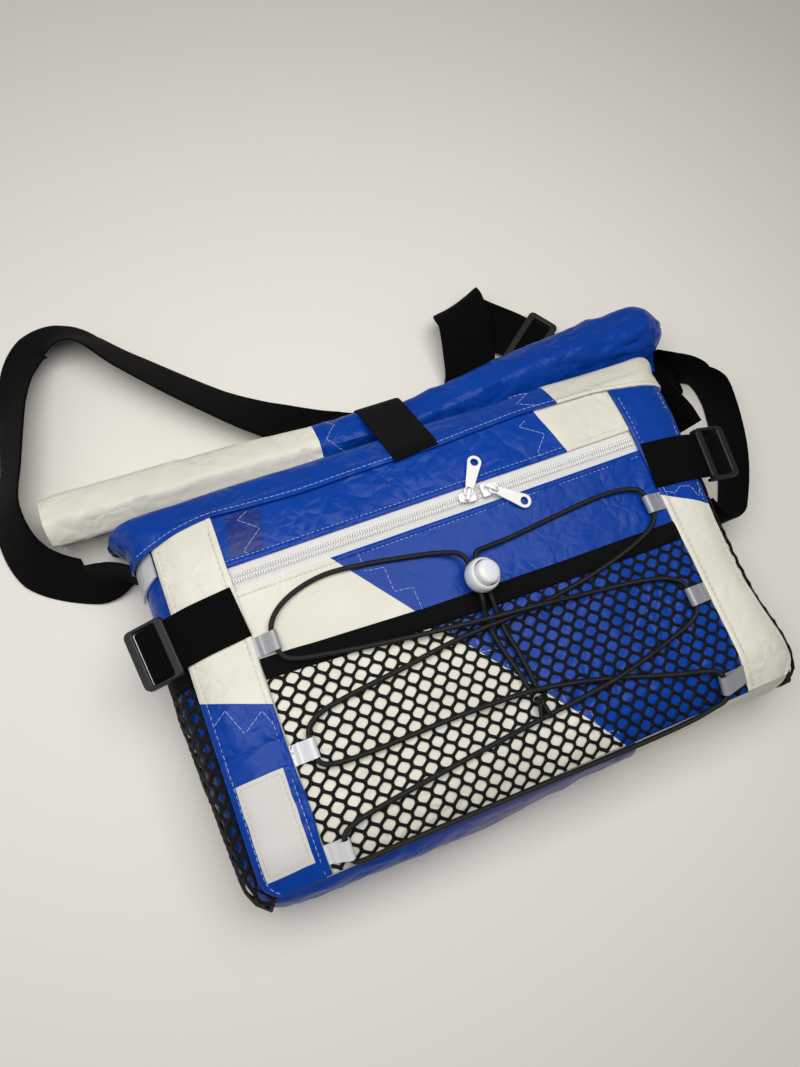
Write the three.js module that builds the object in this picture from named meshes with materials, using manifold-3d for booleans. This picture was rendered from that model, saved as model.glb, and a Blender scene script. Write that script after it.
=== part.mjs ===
// Roll-top messenger bag lying on its back: sailcloth panels, net pockets, webbing and fittings.
// Millimetres. +X runs across the bag, +Y from its base to the rolled top, +Z out of the front.
// The origin is the middle of the flat back, on the surface that the bag lies on.
import * as THREE from 'three';
import { mergeVertices } from 'three/addons/utils/BufferGeometryUtils.js';
import Module from 'manifold-3d';

const wasm = await Module();
wasm.setup();

// Bag body
const HALF_WIDTH = 167.5;
const DEPTH = 70;
const BASE_Y = -105;
const MOUTH_Y = 96.6;
const CORNER_RADIUS = 12;
const CORNER_STEPS = 4;
const CLOTH = 1.2;
const GAP = 0.35;
const SEAM_DROP = 1.7;
const BACK_INSET = 10;
const GUSSET_FULL_Y = 40;

// Front panels
const STRIP_EDGE = 130.5;
const PANEL_EDGE = 134;
const ZIP_LOW_EDGE = 54;
const ZIP_HIGH_EDGE = 68.2;
const ZIP_LINE = 61;
const STRIP_STRAIGHT_Y = 30;
const NET_HALF_WIDTH = 130.1;
const BINDING_WIDTH = 12;

// Zip
const TAPE_HALF_WIDTH = 10;
const COIL_HALF_WIDTH = 3.1;
const SLIDER_PLATE = 2.2;
const SLIDER_HALF = 4.3;
const SLIDER_NOSE_HALF = 2.6;
const SLIDER_NOSE = -5.6;
const SLIDER_SHOULDER = 1;
const SLIDER_BACK = 5.2;
const ARCH_REACH = 3.6;
const ARCH_BAR = 1.2;
const ARCH_HALF = 1.1;
const ARCH_RISE = 3.9;
const PULL_TILT = 7;
const PULL_THICK = 1.2;
const PULL_PIVOT = 1.6;
const PULL_BAR = 0.6;
const PULL_NECK_HALF = 3.1;
const PULL_HALF = 4.3;
const PULL_NECK_END = 6.5;
const PULL_BLADE_START = 10;
const PULL_TIP = 22.6;
const PULL_HOLE = 2.5;
const EYE_HALF = 1.9;
const EYE_END = 5.4;

// Webbing, cord and fittings
const WEB_WIDTH = 30;
const STRAP_WIDTH = 38;
const WEB_THICK = 1.4;
const TAB_Y = 41;
// The tabs run down a little on their way out, turned about a place on the strip
const TAB_PIVOT = 141;
const TAB_TURN = 0.1;
const TRIGLIDE = { half: 11.5, rail: 3.6, width: 17.6, slot: 15.6, top: 3.2, foot: -3, lift: 1, bar: 1.8 };
const STRAP_GLIDE = { ...TRIGLIDE, width: 24, slot: 20.4, bar: 2.4 };
const CORD = 3;
const CORD_SIDES = 8;
const KNOT = { x: 6.4, y: -63.2, rise: 3.9, radius: 3.5 };
const LOOP_WIDTH = 11;
const LOOP_TAPE = 0.6;
const LOOP_BORE = 2;
const LOOP_SEAT = 1.9;
const LOCK_TILT = 20;
const LOCK_BORE = 3.9;
const LOCK_BORE_SPACING = 3.2;
const LOCK_BORE_HEIGHT = 3.2;
const LOCK_SIDES = 24;

// Layers over the front surface: how high each piece starts and ends
const LAYER = {
  panel: [-CLOTH, 0],
  tape: [-2.8, -1.6],
  coil: [-1.25, 0.9],
  strip: [0.4, 1.6],
  net: [0.4, 1.4],
  binding: [0.4, 2.2],
  label: [2, 2.6],
};

// How far the front falls towards its edges, by the distance in from each edge
const SIDE_FALL = [
  { inset: 0, fall: 6 },
  { inset: 4, fall: 3.4 },
  { inset: 9, fall: 1.2 },
  { inset: 15, fall: 0 },
];
const BASE_FALL = [
  { inset: 0, fall: 8 },
  { inset: 10, fall: 3 },
  { inset: 21, fall: 0 },
];
const MOUTH_FALL = [
  { inset: 0, fall: 3 },
  { inset: 12, fall: 1 },
  { inset: 27, fall: 0 },
];

// How far the right edge is drawn in, and how full the base is along the bag
const RIGHT_WAIST = [
  { y: BASE_Y + CORNER_RADIUS, drawn: 0 },
  { y: -84, drawn: 2 },
  { y: -40, drawn: 8 },
  { y: 0, drawn: 7 },
  { y: 40, drawn: 3 },
  { y: MOUTH_Y, drawn: 0 },
];
const BASE_FULLNESS = [
  { x: CORNER_RADIUS - HALF_WIDTH, bulge: 1 },
  { x: -110, bulge: 1.2 },
  { x: -40, bulge: 1.25 },
  { x: 30, bulge: 1.22 },
  { x: 60, bulge: 1.1 },
  { x: 90, bulge: 0.95 },
  { x: 120, bulge: 0.75 },
  { x: HALF_WIDTH - CORNER_RADIUS, bulge: 0.75 },
];

// How full the two sides are, from the base up to the mouth
const SIDE_FULLNESS = [
  { y: -93, left: 1, right: 1 },
  { y: -40, left: 1.15, right: 1 },
  { y: 0, left: 1.35, right: 1 },
  { y: GUSSET_FULL_Y, left: 1.35, right: 1 },
  { y: MOUTH_Y, left: 1.25, right: 0.7 },
];

// Gusset section from the front seam to the back: how far it bulges, and the share of the height fallen
const GUSSET_SECTION = [
  { out: 0, fallen: 0 },
  { out: 6, fallen: 0.13 },
  { out: 10, fallen: 0.36 },
  { out: 11, fallen: 0.56 },
  { out: 8.5, fallen: 0.78 },
  { out: 3, fallen: 0.93 },
  { out: -5, fallen: 0.993 },
  { out: -BACK_INSET, fallen: 1 },
];

// Collar from the mouth to the flat tail that is rolled up
const COLLAR = [
  { frontY: 97, frontZ: 68.6, backY: 97, backZ: 0, half: 180.5, end: 20 },
  { frontY: 104, frontZ: 67, backY: 101, backZ: 0.2, half: 185.5, end: 21 },
  { frontY: 111, frontZ: 62.6, backY: 105, backZ: 1, half: 190, end: 22 },
  { frontY: 113.4, frontZ: 54, backY: 108, backZ: 2.6, half: 193, end: 22 },
  { frontY: 113.8, frontZ: 36, backY: 111, backZ: 4.4, half: 195, end: 18 },
  { frontY: 114.4, frontZ: 20, backY: 115, backZ: 6.4, half: 196, end: 10 },
  { frontY: 119.7, frontZ: 11, backY: 119.7, backZ: 7.8, half: 198, end: 3 },
];
const COLLAR_SPLIT = 95;
const COLLAR_FLAT_STEPS = 4;
const COLLAR_END_STEPS = 6;

// Rolled top: the middle and the radius of the roll along the bag
const ROLL = [
  { x: -224, y: 141, z: 27, radius: 17.5 },
  { x: -214, y: 141, z: 28, radius: 18.5 },
  { x: -150, y: 138, z: 28.5, radius: 18.5 },
  { x: -90, y: 135, z: 29, radius: 18.5 },
  { x: -52, y: 133.5, z: 29, radius: 18 },
  { x: -25, y: 132.5, z: 29, radius: 18 },
  { x: -4, y: 132, z: 28.5, radius: 17 },
  { x: 22, y: 132.5, z: 29, radius: 18 },
  { x: 60, y: 135, z: 30, radius: 19.3 },
  { x: 110, y: 139.5, z: 31.5, radius: 20.5 },
  { x: 155, y: 141.5, z: 33, radius: 21.3 },
  { x: 185, y: 142.5, z: 34, radius: 21 },
  { x: 200, y: 142, z: 34, radius: 19 },
  { x: 207, y: 141, z: 33.5, radius: 15.5 },
];
const ROLL_SPLIT = -52;
const ROLL_WALL = 2.8;
const ROLL_PITCH = 4.4;
const ROLL_TURNS = 1.5;
const ROLL_STEP = 30;
const TAIL_START = { y: 120.1, z: 9.4 };

const COLOURS = {
  blue: { color: 0x1c49b4, roughness: 0.42 },
  white: { color: 0xe8e4d6, roughness: 0.5 },
  web: { color: 0x101113, roughness: 0.8 },
  net: { color: 0x0b0b0c, roughness: 0.75 },
  cord: { color: 0x0d0d0e, roughness: 0.6 },
  zip: { color: 0xeeeeec, roughness: 0.7 },
  metal: { color: 0xf2f2f2, roughness: 0.35, metalness: 0.1 },
  lock: { color: 0xdfe2e6, roughness: 0.45 },
  plastic: { color: 0x141516, roughness: 0.5 },
  reflective: { color: 0xa9acb2, roughness: 0.35, metalness: 0.3 },
  label: { color: 0xdcd8d5, roughness: 0.8 },
};

const X_AXIS = new THREE.Vector3(1, 0, 0);
const Z_AXIS = new THREE.Vector3(0, 0, 1);
const bag = new THREE.Group();

function addPiece(name, geometry, colour, parent = bag) {
  const piece = new THREE.Mesh(geometry, new THREE.MeshStandardMaterial(COLOURS[colour]));
  piece.name = name;
  parent.add(piece);
}

// Straight-line reading of a table between its rows
function readTable(table, key, value, at) {
  const above = table.findIndex((row) => row[key] >= at);
  if (above === 0) return table[0][value];
  if (above < 0) return table[table.length - 1][value];
  const [from, to] = [table[above - 1], table[above]];
  return THREE.MathUtils.lerp(from[value], to[value], (at - from[key]) / (to[key] - from[key]));
}

// Outer edge of the front on the left or the right side
function sideEdge(side, y) {
  return HALF_WIDTH - (side > 0 ? readTable(RIGHT_WAIST, 'y', 'drawn', y) : 0);
}

function frontZ(x, y) {
  return DEPTH
    - readTable(SIDE_FALL, 'inset', 'fall', sideEdge(x, y) - Math.abs(x))
    - readTable(BASE_FALL, 'inset', 'fall', y - BASE_Y)
    - readTable(MOUTH_FALL, 'inset', 'fall', MOUTH_Y - y);
}

// Lines from one edge to another, with the folds of the front between them
const SIDE_FOLDS = SIDE_FALL.flatMap(({ inset }) => [inset - HALF_WIDTH, HALF_WIDTH - inset]);
const LENGTH_FOLDS = [
  ...BASE_FALL.map(({ inset }) => BASE_Y + inset),
  ...MOUTH_FALL.map(({ inset }) => MOUTH_Y - inset),
];
function linesBetween(from, to, folds) {
  const inside = folds.filter((fold) => fold > from + 1 && fold < to - 1);
  return [from, ...inside.sort((a, b) => a - b), to];
}

// Geometry from points and triangles, turned to face outwards
function solid(points, faces) {
  let volume = 0;
  for (let f = 0; f < faces.length; f += 3) {
    const [a, b, c] = [points[faces[f]], points[faces[f + 1]], points[faces[f + 2]]];
    volume += a.dot(b.clone().cross(c));
  }
  const geometry = new THREE.BufferGeometry().setFromPoints(points);
  geometry.setIndex(volume < 0 ? faces.toReversed() : faces);
  return geometry;
}

// Rim of a wall between two grids of points
function addRim(faces, rows, cols) {
  const outer = (r, c) => r * cols + c;
  const inner = (r, c) => rows * cols + r * cols + c;
  const quad = (a, b, c, d) => faces.push(a, b, c, a, c, d);
  for (let r = 0; r < rows - 1; r += 1) {
    quad(outer(r, 0), outer(r + 1, 0), inner(r + 1, 0), inner(r, 0));
    quad(outer(r + 1, cols - 1), outer(r, cols - 1), inner(r, cols - 1), inner(r + 1, cols - 1));
  }
  for (let c = 0; c < cols - 1; c += 1) {
    quad(outer(0, c + 1), outer(0, c), inner(0, c), inner(0, c + 1));
    quad(outer(rows - 1, c), outer(rows - 1, c + 1), inner(rows - 1, c + 1), inner(rows - 1, c));
  }
}

// Closed wall between two grids of points
function wall(outerGrid, innerGrid) {
  const rows = outerGrid.length;
  const cols = outerGrid[0].length;
  const faces = [];
  for (let r = 0; r < rows - 1; r += 1) {
    for (let c = 0; c < cols - 1; c += 1) {
      const a = r * cols + c;
      const b = a + rows * cols;
      faces.push(a, a + 1, a + cols + 1, a, a + cols + 1, a + cols);
      faces.push(b, b + cols, b + cols + 1, b, b + cols + 1, b + 1);
    }
  }
  addRim(faces, rows, cols);
  return solid([...outerGrid.flat(), ...innerGrid.flat()], faces);
}

// Closed wall between two grids with a gap cut through each of its cells
function netWall(outerGrid, innerGrid, barShare) {
  const rows = outerGrid.length;
  const cols = outerGrid[0].length;
  const points = [...outerGrid.flat(), ...innerGrid.flat()];
  const faces = [];
  const quad = (a, b, c, d) => faces.push(a, b, c, a, c, d);
  const gapCorners = (corners) => [0, 1, 2, 3].map((k) => {
    const opposite = corners[(k + 2) % 4];
    points.push(points[corners[k]].clone().lerp(points[opposite], barShare));
    return points.length - 1;
  });
  for (let r = 0; r < rows - 1; r += 1) {
    for (let c = 0; c < cols - 1; c += 1) {
      const a = r * cols + c;
      const top = [a, a + 1, a + cols + 1, a + cols];
      const under = top.map((corner) => corner + rows * cols);
      const topGap = gapCorners(top);
      const underGap = gapCorners(under);
      for (let k = 0; k < 4; k += 1) {
        const n = (k + 1) % 4;
        quad(top[k], top[n], topGap[n], topGap[k]);
        quad(under[k], underGap[k], underGap[n], under[n]);
        quad(topGap[k], topGap[n], underGap[n], underGap[k]);
      }
    }
  }
  addRim(faces, rows, cols);
  return solid(points, faces);
}

// Grid of points over the front. A line may be a number, or a function of the other direction.
function frontGrid(xs, ys, height) {
  const valueOf = (line, at) => (typeof line === 'function' ? line(at) : line);
  return ys.map((yLine) => xs.map((xLine) => {
    const roughY = typeof yLine === 'function' ? 0 : yLine;
    const x = valueOf(xLine, roughY);
    const y = valueOf(yLine, x);
    return new THREE.Vector3(x, y, frontZ(x, y) + height);
  }));
}

function frontLayer(xs, ys, [low, high]) {
  return wall(frontGrid(xs, ys, high), frontGrid(xs, ys, low));
}

function weld(geometry) {
  geometry.deleteAttribute('normal');
  geometry.deleteAttribute('uv');
  return mergeVertices(geometry, 1e-4);
}

function toManifold(geometry) {
  const welded = weld(geometry);
  return new wasm.Manifold(new wasm.Mesh({
    numProp: 3,
    vertProperties: new Float32Array(welded.attributes.position.array),
    triVerts: new Uint32Array(welded.index.array),
  }));
}

function fromManifold(body) {
  const { vertProperties, triVerts } = body.getMesh();
  const geometry = new THREE.BufferGeometry();
  geometry.setAttribute('position', new THREE.BufferAttribute(vertProperties, 3));
  geometry.setIndex(Array.from(triVerts));
  return geometry;
}

function fuse(geometries) {
  return fromManifold(geometries.map(toManifold).reduce((sum, part) => sum.add(part)));
}

function cutAway(geometry, tools) {
  const whole = toManifold(geometry);
  return fromManifold(tools.map(toManifold).reduce((rest, tool) => rest.subtract(tool), whole));
}

// Box between two corners
function block([x0, y0, z0], [x1, y1, z1]) {
  return new THREE.BoxGeometry(x1 - x0, y1 - y0, z1 - z0)
    .translate((x0 + x1) / 2, (y0 + y1) / 2, (z0 + z1) / 2);
}

// Curve whose steps follow its control points, so that tight turns keep steps of their own
class Route extends THREE.CatmullRomCurve3 {
  getPointAt(share, target) {
    return this.getPoint(share, target);
  }

  getTangentAt(share, target) {
    return this.getTangent(share, target);
  }
}

// Flat webbing through stations, each with a point, the way across the web and the way out of its face
function webbing(stations, width = WEB_WIDTH) {
  const side = (height) => stations.map(({ point, across, face }) => [-1, 1].map((edge) => point.clone()
    .addScaledVector(across, (edge * width) / 2)
    .addScaledVector(face, height)));
  return wall(side(WEB_THICK / 2), side(-WEB_THICK / 2));
}

// Webbing that bends in one plane: all of it lies the same way across
function bentWebbing(points, across) {
  const route = new Route(points);
  const last = points.length - 1;
  return webbing(points.map((point, k) => {
    const face = route.getTangent(k / last).cross(across).normalize();
    return { point, across, face };
  }));
}

function makeBack() {
  const half = HALF_WIDTH - BACK_INSET - GAP;
  const base = BASE_Y + BACK_INSET + GAP;
  const corner = CORNER_RADIUS - BACK_INSET;
  const outline = new THREE.Shape([
    new THREE.Vector2(-half + corner, base),
    new THREE.Vector2(half - corner, base),
    new THREE.Vector2(half, base + corner),
    new THREE.Vector2(half, MOUTH_Y),
    new THREE.Vector2(-half, MOUTH_Y),
    new THREE.Vector2(-half, base + corner),
  ]);
  addPiece('back_panel', new THREE.ExtrudeGeometry(outline, { depth: CLOTH, bevelEnabled: false }), 'blue');
}

// Stations round the plan of the bag: a point on its edge, the way out, how full the bulge is,
// and how far the front seam is drawn in from the edge
function sideStations(side, ys) {
  return ys.map((y) => ({
    x: side * HALF_WIDTH,
    y,
    out: new THREE.Vector3(side, 0, 0),
    bulge: readTable(SIDE_FULLNESS, 'y', side < 0 ? 'left' : 'right', y),
    drawn: HALF_WIDTH - sideEdge(side, y),
  }));
}

function cornerStations(side) {
  const baseBulge = readTable(BASE_FULLNESS, 'x', 'bulge', side * (HALF_WIDTH - CORNER_RADIUS));
  const steps = Array.from({ length: CORNER_STEPS + 1 }, (_, k) => k / CORNER_STEPS);
  return steps.map((share) => {
    const angle = (share * Math.PI) / 2;
    const out = new THREE.Vector3(side * Math.cos(angle), -Math.sin(angle), 0);
    return {
      x: side * (HALF_WIDTH - CORNER_RADIUS) + out.x * CORNER_RADIUS,
      y: BASE_Y + CORNER_RADIUS + out.y * CORNER_RADIUS,
      out,
      bulge: THREE.MathUtils.lerp(1, baseBulge, share),
    };
  });
}

function baseStations(xs) {
  return xs.map((x) => ({
    x,
    y: BASE_Y,
    out: new THREE.Vector3(0, -1, 0),
    bulge: readTable(BASE_FULLNESS, 'x', 'bulge', x),
  }));
}

// Section of the gusset at a station, set off from its outer face
function gussetSection({ x, y, out, bulge, drawn = 0 }, offset) {
  const top = frontZ(x - out.x * drawn, y) - SEAM_DROP;
  const flat = GUSSET_SECTION.map((row) => new THREE.Vector2(
    (row.out > 0 ? row.out * bulge : row.out) - drawn * (1 - row.fallen),
    top * (1 - row.fallen),
  ));
  return flat.map((point, k) => {
    const along = flat[Math.min(k + 1, flat.length - 1)].clone().sub(flat[Math.max(k - 1, 0)]).normalize();
    const set = k === flat.length - 1
      ? new THREE.Vector2(point.x, point.y - offset)
      : new THREE.Vector2(point.x - along.y * offset, point.y + along.x * offset);
    return new THREE.Vector3(x, y, set.y).addScaledVector(out, set.x);
  });
}

function gussetLayer(stations, [low, high], from = 0, to = GUSSET_SECTION.length - 1) {
  const grid = (offset) => stations.map((station) => gussetSection(station, offset).slice(from, to + 1));
  return [grid(high), grid(low)];
}

const SIDE_FALL_START = BASE_Y + BASE_FALL.at(-1).inset;
const CORNER_Y = BASE_Y + CORNER_RADIUS;
const BASE_SPLIT = 54;

function makeGussets() {
  const sideYs = [...RIGHT_WAIST.map(({ y }) => y), (MOUTH_Y + GUSSET_FULL_Y) / 2].sort((a, b) => b - a);
  const cloth = [-CLOTH, 0];
  for (const [side, name] of [[-1, 'left'], [1, 'right']]) {
    addPiece(`${name}_gusset`, wall(...gussetLayer(sideStations(side, sideYs), cloth)), 'blue');
  }
  const baseXs = BASE_FULLNESS.slice(1, -1).map(({ x }) => x);
  const nudge = (station, x, y) => ({ ...station, x: station.x + x, y: station.y + y });
  const leftCorner = cornerStations(-1).map((s, k) => (k === 0 ? nudge(s, 0, -GAP) : s));
  const rightCorner = cornerStations(1).map((s, k) => (k === 0 ? nudge(s, 0, -GAP) : s)).reverse();
  const blueXs = [...baseXs.filter((x) => x < BASE_SPLIT), BASE_SPLIT];
  const whiteXs = [BASE_SPLIT + GAP, ...baseXs.filter((x) => x > BASE_SPLIT)];
  const blue = [...leftCorner, ...baseStations(blueXs)];
  const white = [...baseStations(whiteXs), ...rightCorner];
  addPiece('base_gusset_blue', wall(...gussetLayer(blue, cloth)), 'blue');
  addPiece('base_gusset_white', wall(...gussetLayer(white, cloth)), 'white');
}

// Lines where the cloth changes colour
const diagonal = (y) => -76.4 + (56.8 - y) * 0.764;
const bandSplit = (y) => 80 + (98 - y) * 0.231;
const leftSplit = (x) => 2 - (x + 166) * 0.389;
const rightSplit = (x) => 21 - (x - 133) * 0.5;
const past = (line) => (at) => line(at) + GAP;

function makeFrontPanels() {
  const lowYs = linesBetween(BASE_Y, ZIP_LOW_EDGE, LENGTH_FOLDS);
  const highYs = linesBetween(ZIP_HIGH_EDGE, MOUTH_Y, LENGTH_FOLDS);
  addPiece('lower_panel_white', frontLayer([-PANEL_EDGE, diagonal], lowYs, LAYER.panel), 'white');
  addPiece('lower_panel_blue', frontLayer([past(diagonal), PANEL_EDGE], lowYs, LAYER.panel), 'blue');
  addPiece('zip_band_blue', frontLayer([-PANEL_EDGE, bandSplit], highYs, LAYER.panel), 'blue');
  addPiece('zip_band_white', frontLayer([past(bandSplit), PANEL_EDGE], highYs, LAYER.panel), 'white');
}

// Outer edge of the front at a height, with its round corners
function edgeAt(y) {
  const below = Math.max(0, CORNER_Y - y);
  return HALF_WIDTH - CORNER_RADIUS + Math.sqrt(CORNER_RADIUS ** 2 - below ** 2);
}

function makeStrips() {
  const cornerYs = [0.5, 3, 6.5, 10].map((rise) => BASE_Y + rise);
  const upperYs = linesBetween(STRIP_STRAIGHT_Y, MOUTH_Y, [...LENGTH_FOLDS, GUSSET_FULL_Y]);
  const lowerYs = [...cornerYs, CORNER_Y, SIDE_FALL_START, RIGHT_WAIST[2].y];
  const folds = SIDE_FALL.map(({ inset }) => HALF_WIDTH - inset);
  for (const [side, name, split, upper, lower] of [
    [-1, 'left', leftSplit, 'white', 'blue'],
    [1, 'right', rightSplit, 'blue', 'white'],
  ]) {
    const drawnIn = (y) => HALF_WIDTH - sideEdge(side, y);
    const outer = folds.map((x) => (y) => side * Math.min(x - drawnIn(y), edgeAt(y)));
    const xs = [...outer, () => side * STRIP_EDGE];
    const upperLines = [past(split), ...upperYs];
    const lowerLines = [...lowerYs, split];
    addPiece(`${name}_strip_${upper}`, frontLayer(spread(xs), upperLines, LAYER.strip), upper);
    addPiece(`${name}_strip_${lower}`, frontLayer(spread(xs), lowerLines, LAYER.strip), lower);
  }
}

// Keeps lines that a round corner pushes together a little apart
function spread(lines) {
  const apart = 0.05;
  return lines.map((line, k) => (y) => {
    const x = line(y);
    return x - Math.sign(x) * apart * k;
  });
}

function makeZip() {
  for (const [name, reach, half] of [
    ['tape', PANEL_EDGE - 2, TAPE_HALF_WIDTH],
    ['coil', STRIP_EDGE - 1, COIL_HALF_WIDTH],
  ]) {
    const ys = [ZIP_LINE - half, ZIP_LINE + half];
    addPiece(`zip_${name}`, frontLayer([-reach, reach], ys, LAYER[name]), 'zip');
  }
  for (const [name, x, heading, flip] of [['left', 15, 56, 1], ['right', 29.5, -39, -1]]) {
    const slider = new THREE.Group();
    slider.position.set(x, ZIP_LINE + 0.5, DEPTH + LAYER.coil[1] + 0.3);
    bag.add(slider);
    makeSlider(name, slider, THREE.MathUtils.degToRad(heading), flip);
  }
}

// Slider over the coil with an arch that the pull hangs on. The pull lies along its heading.
function makeSlider(name, slider, heading, flip) {
  const outline = new THREE.Shape([
    new THREE.Vector2(flip * SLIDER_NOSE, -SLIDER_NOSE_HALF),
    new THREE.Vector2(flip * SLIDER_SHOULDER, -SLIDER_HALF),
    new THREE.Vector2(flip * SLIDER_BACK, -SLIDER_HALF),
    new THREE.Vector2(flip * SLIDER_BACK, SLIDER_HALF),
    new THREE.Vector2(flip * SLIDER_SHOULDER, SLIDER_HALF),
    new THREE.Vector2(flip * SLIDER_NOSE, SLIDER_NOSE_HALF),
  ]);
  const plate = new THREE.ExtrudeGeometry(outline, { depth: SLIDER_PLATE, bevelEnabled: false });
  const [foot, crown] = [SLIDER_PLATE - 0.2, SLIDER_PLATE + ARCH_RISE];
  const arch = [
    block([-ARCH_REACH, -ARCH_HALF, foot], [ARCH_BAR - ARCH_REACH, ARCH_HALF, crown]),
    block([ARCH_REACH - ARCH_BAR, -ARCH_HALF, foot], [ARCH_REACH, ARCH_HALF, crown]),
    block([-ARCH_REACH, -ARCH_HALF, crown - ARCH_BAR], [ARCH_REACH, ARCH_HALF, crown]),
  ].map((bar) => bar.rotateZ(heading));
  addPiece(`zip_slider_${name}`, fuse([plate, ...arch]), 'metal', slider);
  const swing = new THREE.Group();
  swing.position.z = SLIDER_PLATE + PULL_PIVOT;
  swing.rotation.set(0, THREE.MathUtils.degToRad(PULL_TILT), heading, 'ZYX');
  slider.add(swing);
  addPiece(`zip_pull_${name}`, makePull(), 'metal', swing);
}

// Flat pull along +X from its cross bar, with an eye for the arch and a round hole at its far end
function makePull() {
  const outline = new THREE.Shape();
  outline.moveTo(-PULL_BAR, -PULL_NECK_HALF);
  outline.lineTo(PULL_NECK_END, -PULL_NECK_HALF);
  outline.lineTo(PULL_BLADE_START, -PULL_HALF);
  outline.lineTo(PULL_TIP, -PULL_HALF);
  outline.absarc(PULL_TIP, 0, PULL_HALF, -Math.PI / 2, Math.PI / 2, false);
  outline.lineTo(PULL_BLADE_START, PULL_HALF);
  outline.lineTo(PULL_NECK_END, PULL_NECK_HALF);
  outline.lineTo(-PULL_BAR, PULL_NECK_HALF);
  outline.closePath();
  const eye = new THREE.Path([
    new THREE.Vector2(PULL_BAR, -EYE_HALF),
    new THREE.Vector2(PULL_BAR, EYE_HALF),
    new THREE.Vector2(EYE_END, EYE_HALF),
    new THREE.Vector2(EYE_END, -EYE_HALF),
  ]);
  const hole = new THREE.Path().absarc(PULL_TIP, 0, PULL_HOLE, 0, Math.PI * 2, true);
  outline.holes.push(eye, hole);
  const settings = { depth: PULL_THICK, bevelEnabled: false, curveSegments: 8 };
  return new THREE.ExtrudeGeometry(outline, settings).translate(0, 0, -PULL_THICK / 2);
}

// Top edge of the front pocket, which hangs a little towards the right
const POCKET_TOP = [
  { x: -NET_HALF_WIDTH, y: 14 },
  { x: -60, y: 9.5 },
  { x: 0, y: 7 },
  { x: 65, y: 5.5 },
  { x: NET_HALF_WIDTH, y: 4.5 },
];
const pocketTop = (drop) => (x) => readTable(POCKET_TOP, 'x', 'y', x) - drop;

function makeFrontPocket() {
  const columns = 12;
  const flatRows = 4;
  const netFoot = BASE_Y + 0.5;
  const netTop = pocketTop(BINDING_WIDTH + GAP);
  const bindingXs = POCKET_TOP.map(({ x }) => x);
  addPiece(
    'front_net_binding',
    frontLayer(bindingXs, [pocketTop(BINDING_WIDTH), pocketTop(0)], LAYER.binding),
    'net',
  );
  const xs = Array.from({ length: columns + 1 }, (_, k) => NET_HALF_WIDTH * ((2 * k) / columns - 1));
  const foldYs = BASE_FALL.slice(1).map(({ inset }) => BASE_Y + inset);
  const flatFoot = foldYs.at(-1);
  const flatYs = Array.from({ length: flatRows }, (_, k) => (x) => (
    THREE.MathUtils.lerp(flatFoot, netTop(x), (k + 1) / flatRows)));
  const ys = [netFoot, ...foldYs, ...flatYs];
  const [low, high] = LAYER.net;
  addPiece('front_net', netWall(frontGrid(xs, ys, high), frontGrid(xs, ys, low), 0.11), 'net');
}

// Net pockets on the lower sides, bound along their top edge
function makeSidePockets() {
  const bindingFoot = 8;
  const cells = 5;
  const netYs = Array.from({ length: cells + 1 }, (_, k) => (
    THREE.MathUtils.lerp(SIDE_FALL_START, bindingFoot - GAP, k / cells)));
  const bindingYs = [bindingFoot, bindingFoot + BINDING_WIDTH];
  for (const [side, name] of [[-1, 'left'], [1, 'right']]) {
    const net = gussetLayer(sideStations(side, netYs), [0.5, 1.5], 1, 5);
    const binding = gussetLayer(sideStations(side, bindingYs), [0.5, 2.1], 1, 5);
    addPiece(`${name}_net`, netWall(...net, 0.12), 'net');
    addPiece(`${name}_net_binding`, wall(...binding), 'net');
  }
}

// One loop of the collar, from the split round the left side or the right side to the back
function collarLoop({ frontY, frontZ: high, backY, backZ, half, end }, skin, side, split) {
  const [top, low, edge] = [high - skin, backZ + skin, half - skin];
  const middle = (top + low) / 2;
  const flatEdge = edge - end;
  const flat = Array.from({ length: COLLAR_FLAT_STEPS }, (_, k) => (
    THREE.MathUtils.lerp(split, side * flatEdge, k / COLLAR_FLAT_STEPS)));
  const front = flat.map((x) => [x, top]);
  const back = flat.toReversed().map((x) => [x, low]);
  const round = Array.from({ length: COLLAR_END_STEPS + 1 }, (_, k) => {
    const angle = Math.PI * (0.5 - k / COLLAR_END_STEPS);
    return [side * (flatEdge + end * Math.cos(angle)), middle + ((top - low) / 2) * Math.sin(angle)];
  });
  return [...front, ...round, ...back].map(([x, z]) => new THREE.Vector3(
    x,
    THREE.MathUtils.lerp(backY, frontY, (z - low) / (top - low)),
    z,
  ));
}

function makeCollar() {
  for (const [name, side, split] of [
    ['collar_blue', -1, COLLAR_SPLIT - GAP],
    ['collar_white', 1, COLLAR_SPLIT],
  ]) {
    const grid = (skin) => COLLAR.map((row) => collarLoop(row, skin, side, split));
    addPiece(name, wall(grid(0), grid(CLOTH)), name.replace('collar_', ''));
  }
}

// Section of the roll: a flat tail that runs under it and winds up from its far side inwards
function rollSection({ x, y, z, radius }) {
  const underRoll = z - radius + ROLL_WALL / 2;
  const line = [
    new THREE.Vector2(TAIL_START.y, TAIL_START.z),
    new THREE.Vector2((TAIL_START.y + y) / 2, THREE.MathUtils.lerp(TAIL_START.z, underRoll, 0.3)),
  ];
  for (let turned = 0; turned <= ROLL_TURNS * 360; turned += ROLL_STEP) {
    const reach = radius - ROLL_WALL / 2 - (ROLL_PITCH * turned) / 360;
    const angle = THREE.MathUtils.degToRad(turned - 90);
    line.push(new THREE.Vector2(y + reach * Math.cos(angle), z + reach * Math.sin(angle)));
  }
  const side = (height) => line.map((point, k) => {
    const along = line[Math.min(k + 1, line.length - 1)].clone().sub(line[Math.max(k - 1, 0)]).normalize();
    return new THREE.Vector3(x, point.x + along.y * height, point.y - along.x * height);
  });
  return { outer: side(ROLL_WALL / 2), inner: side(-ROLL_WALL / 2) };
}

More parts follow.
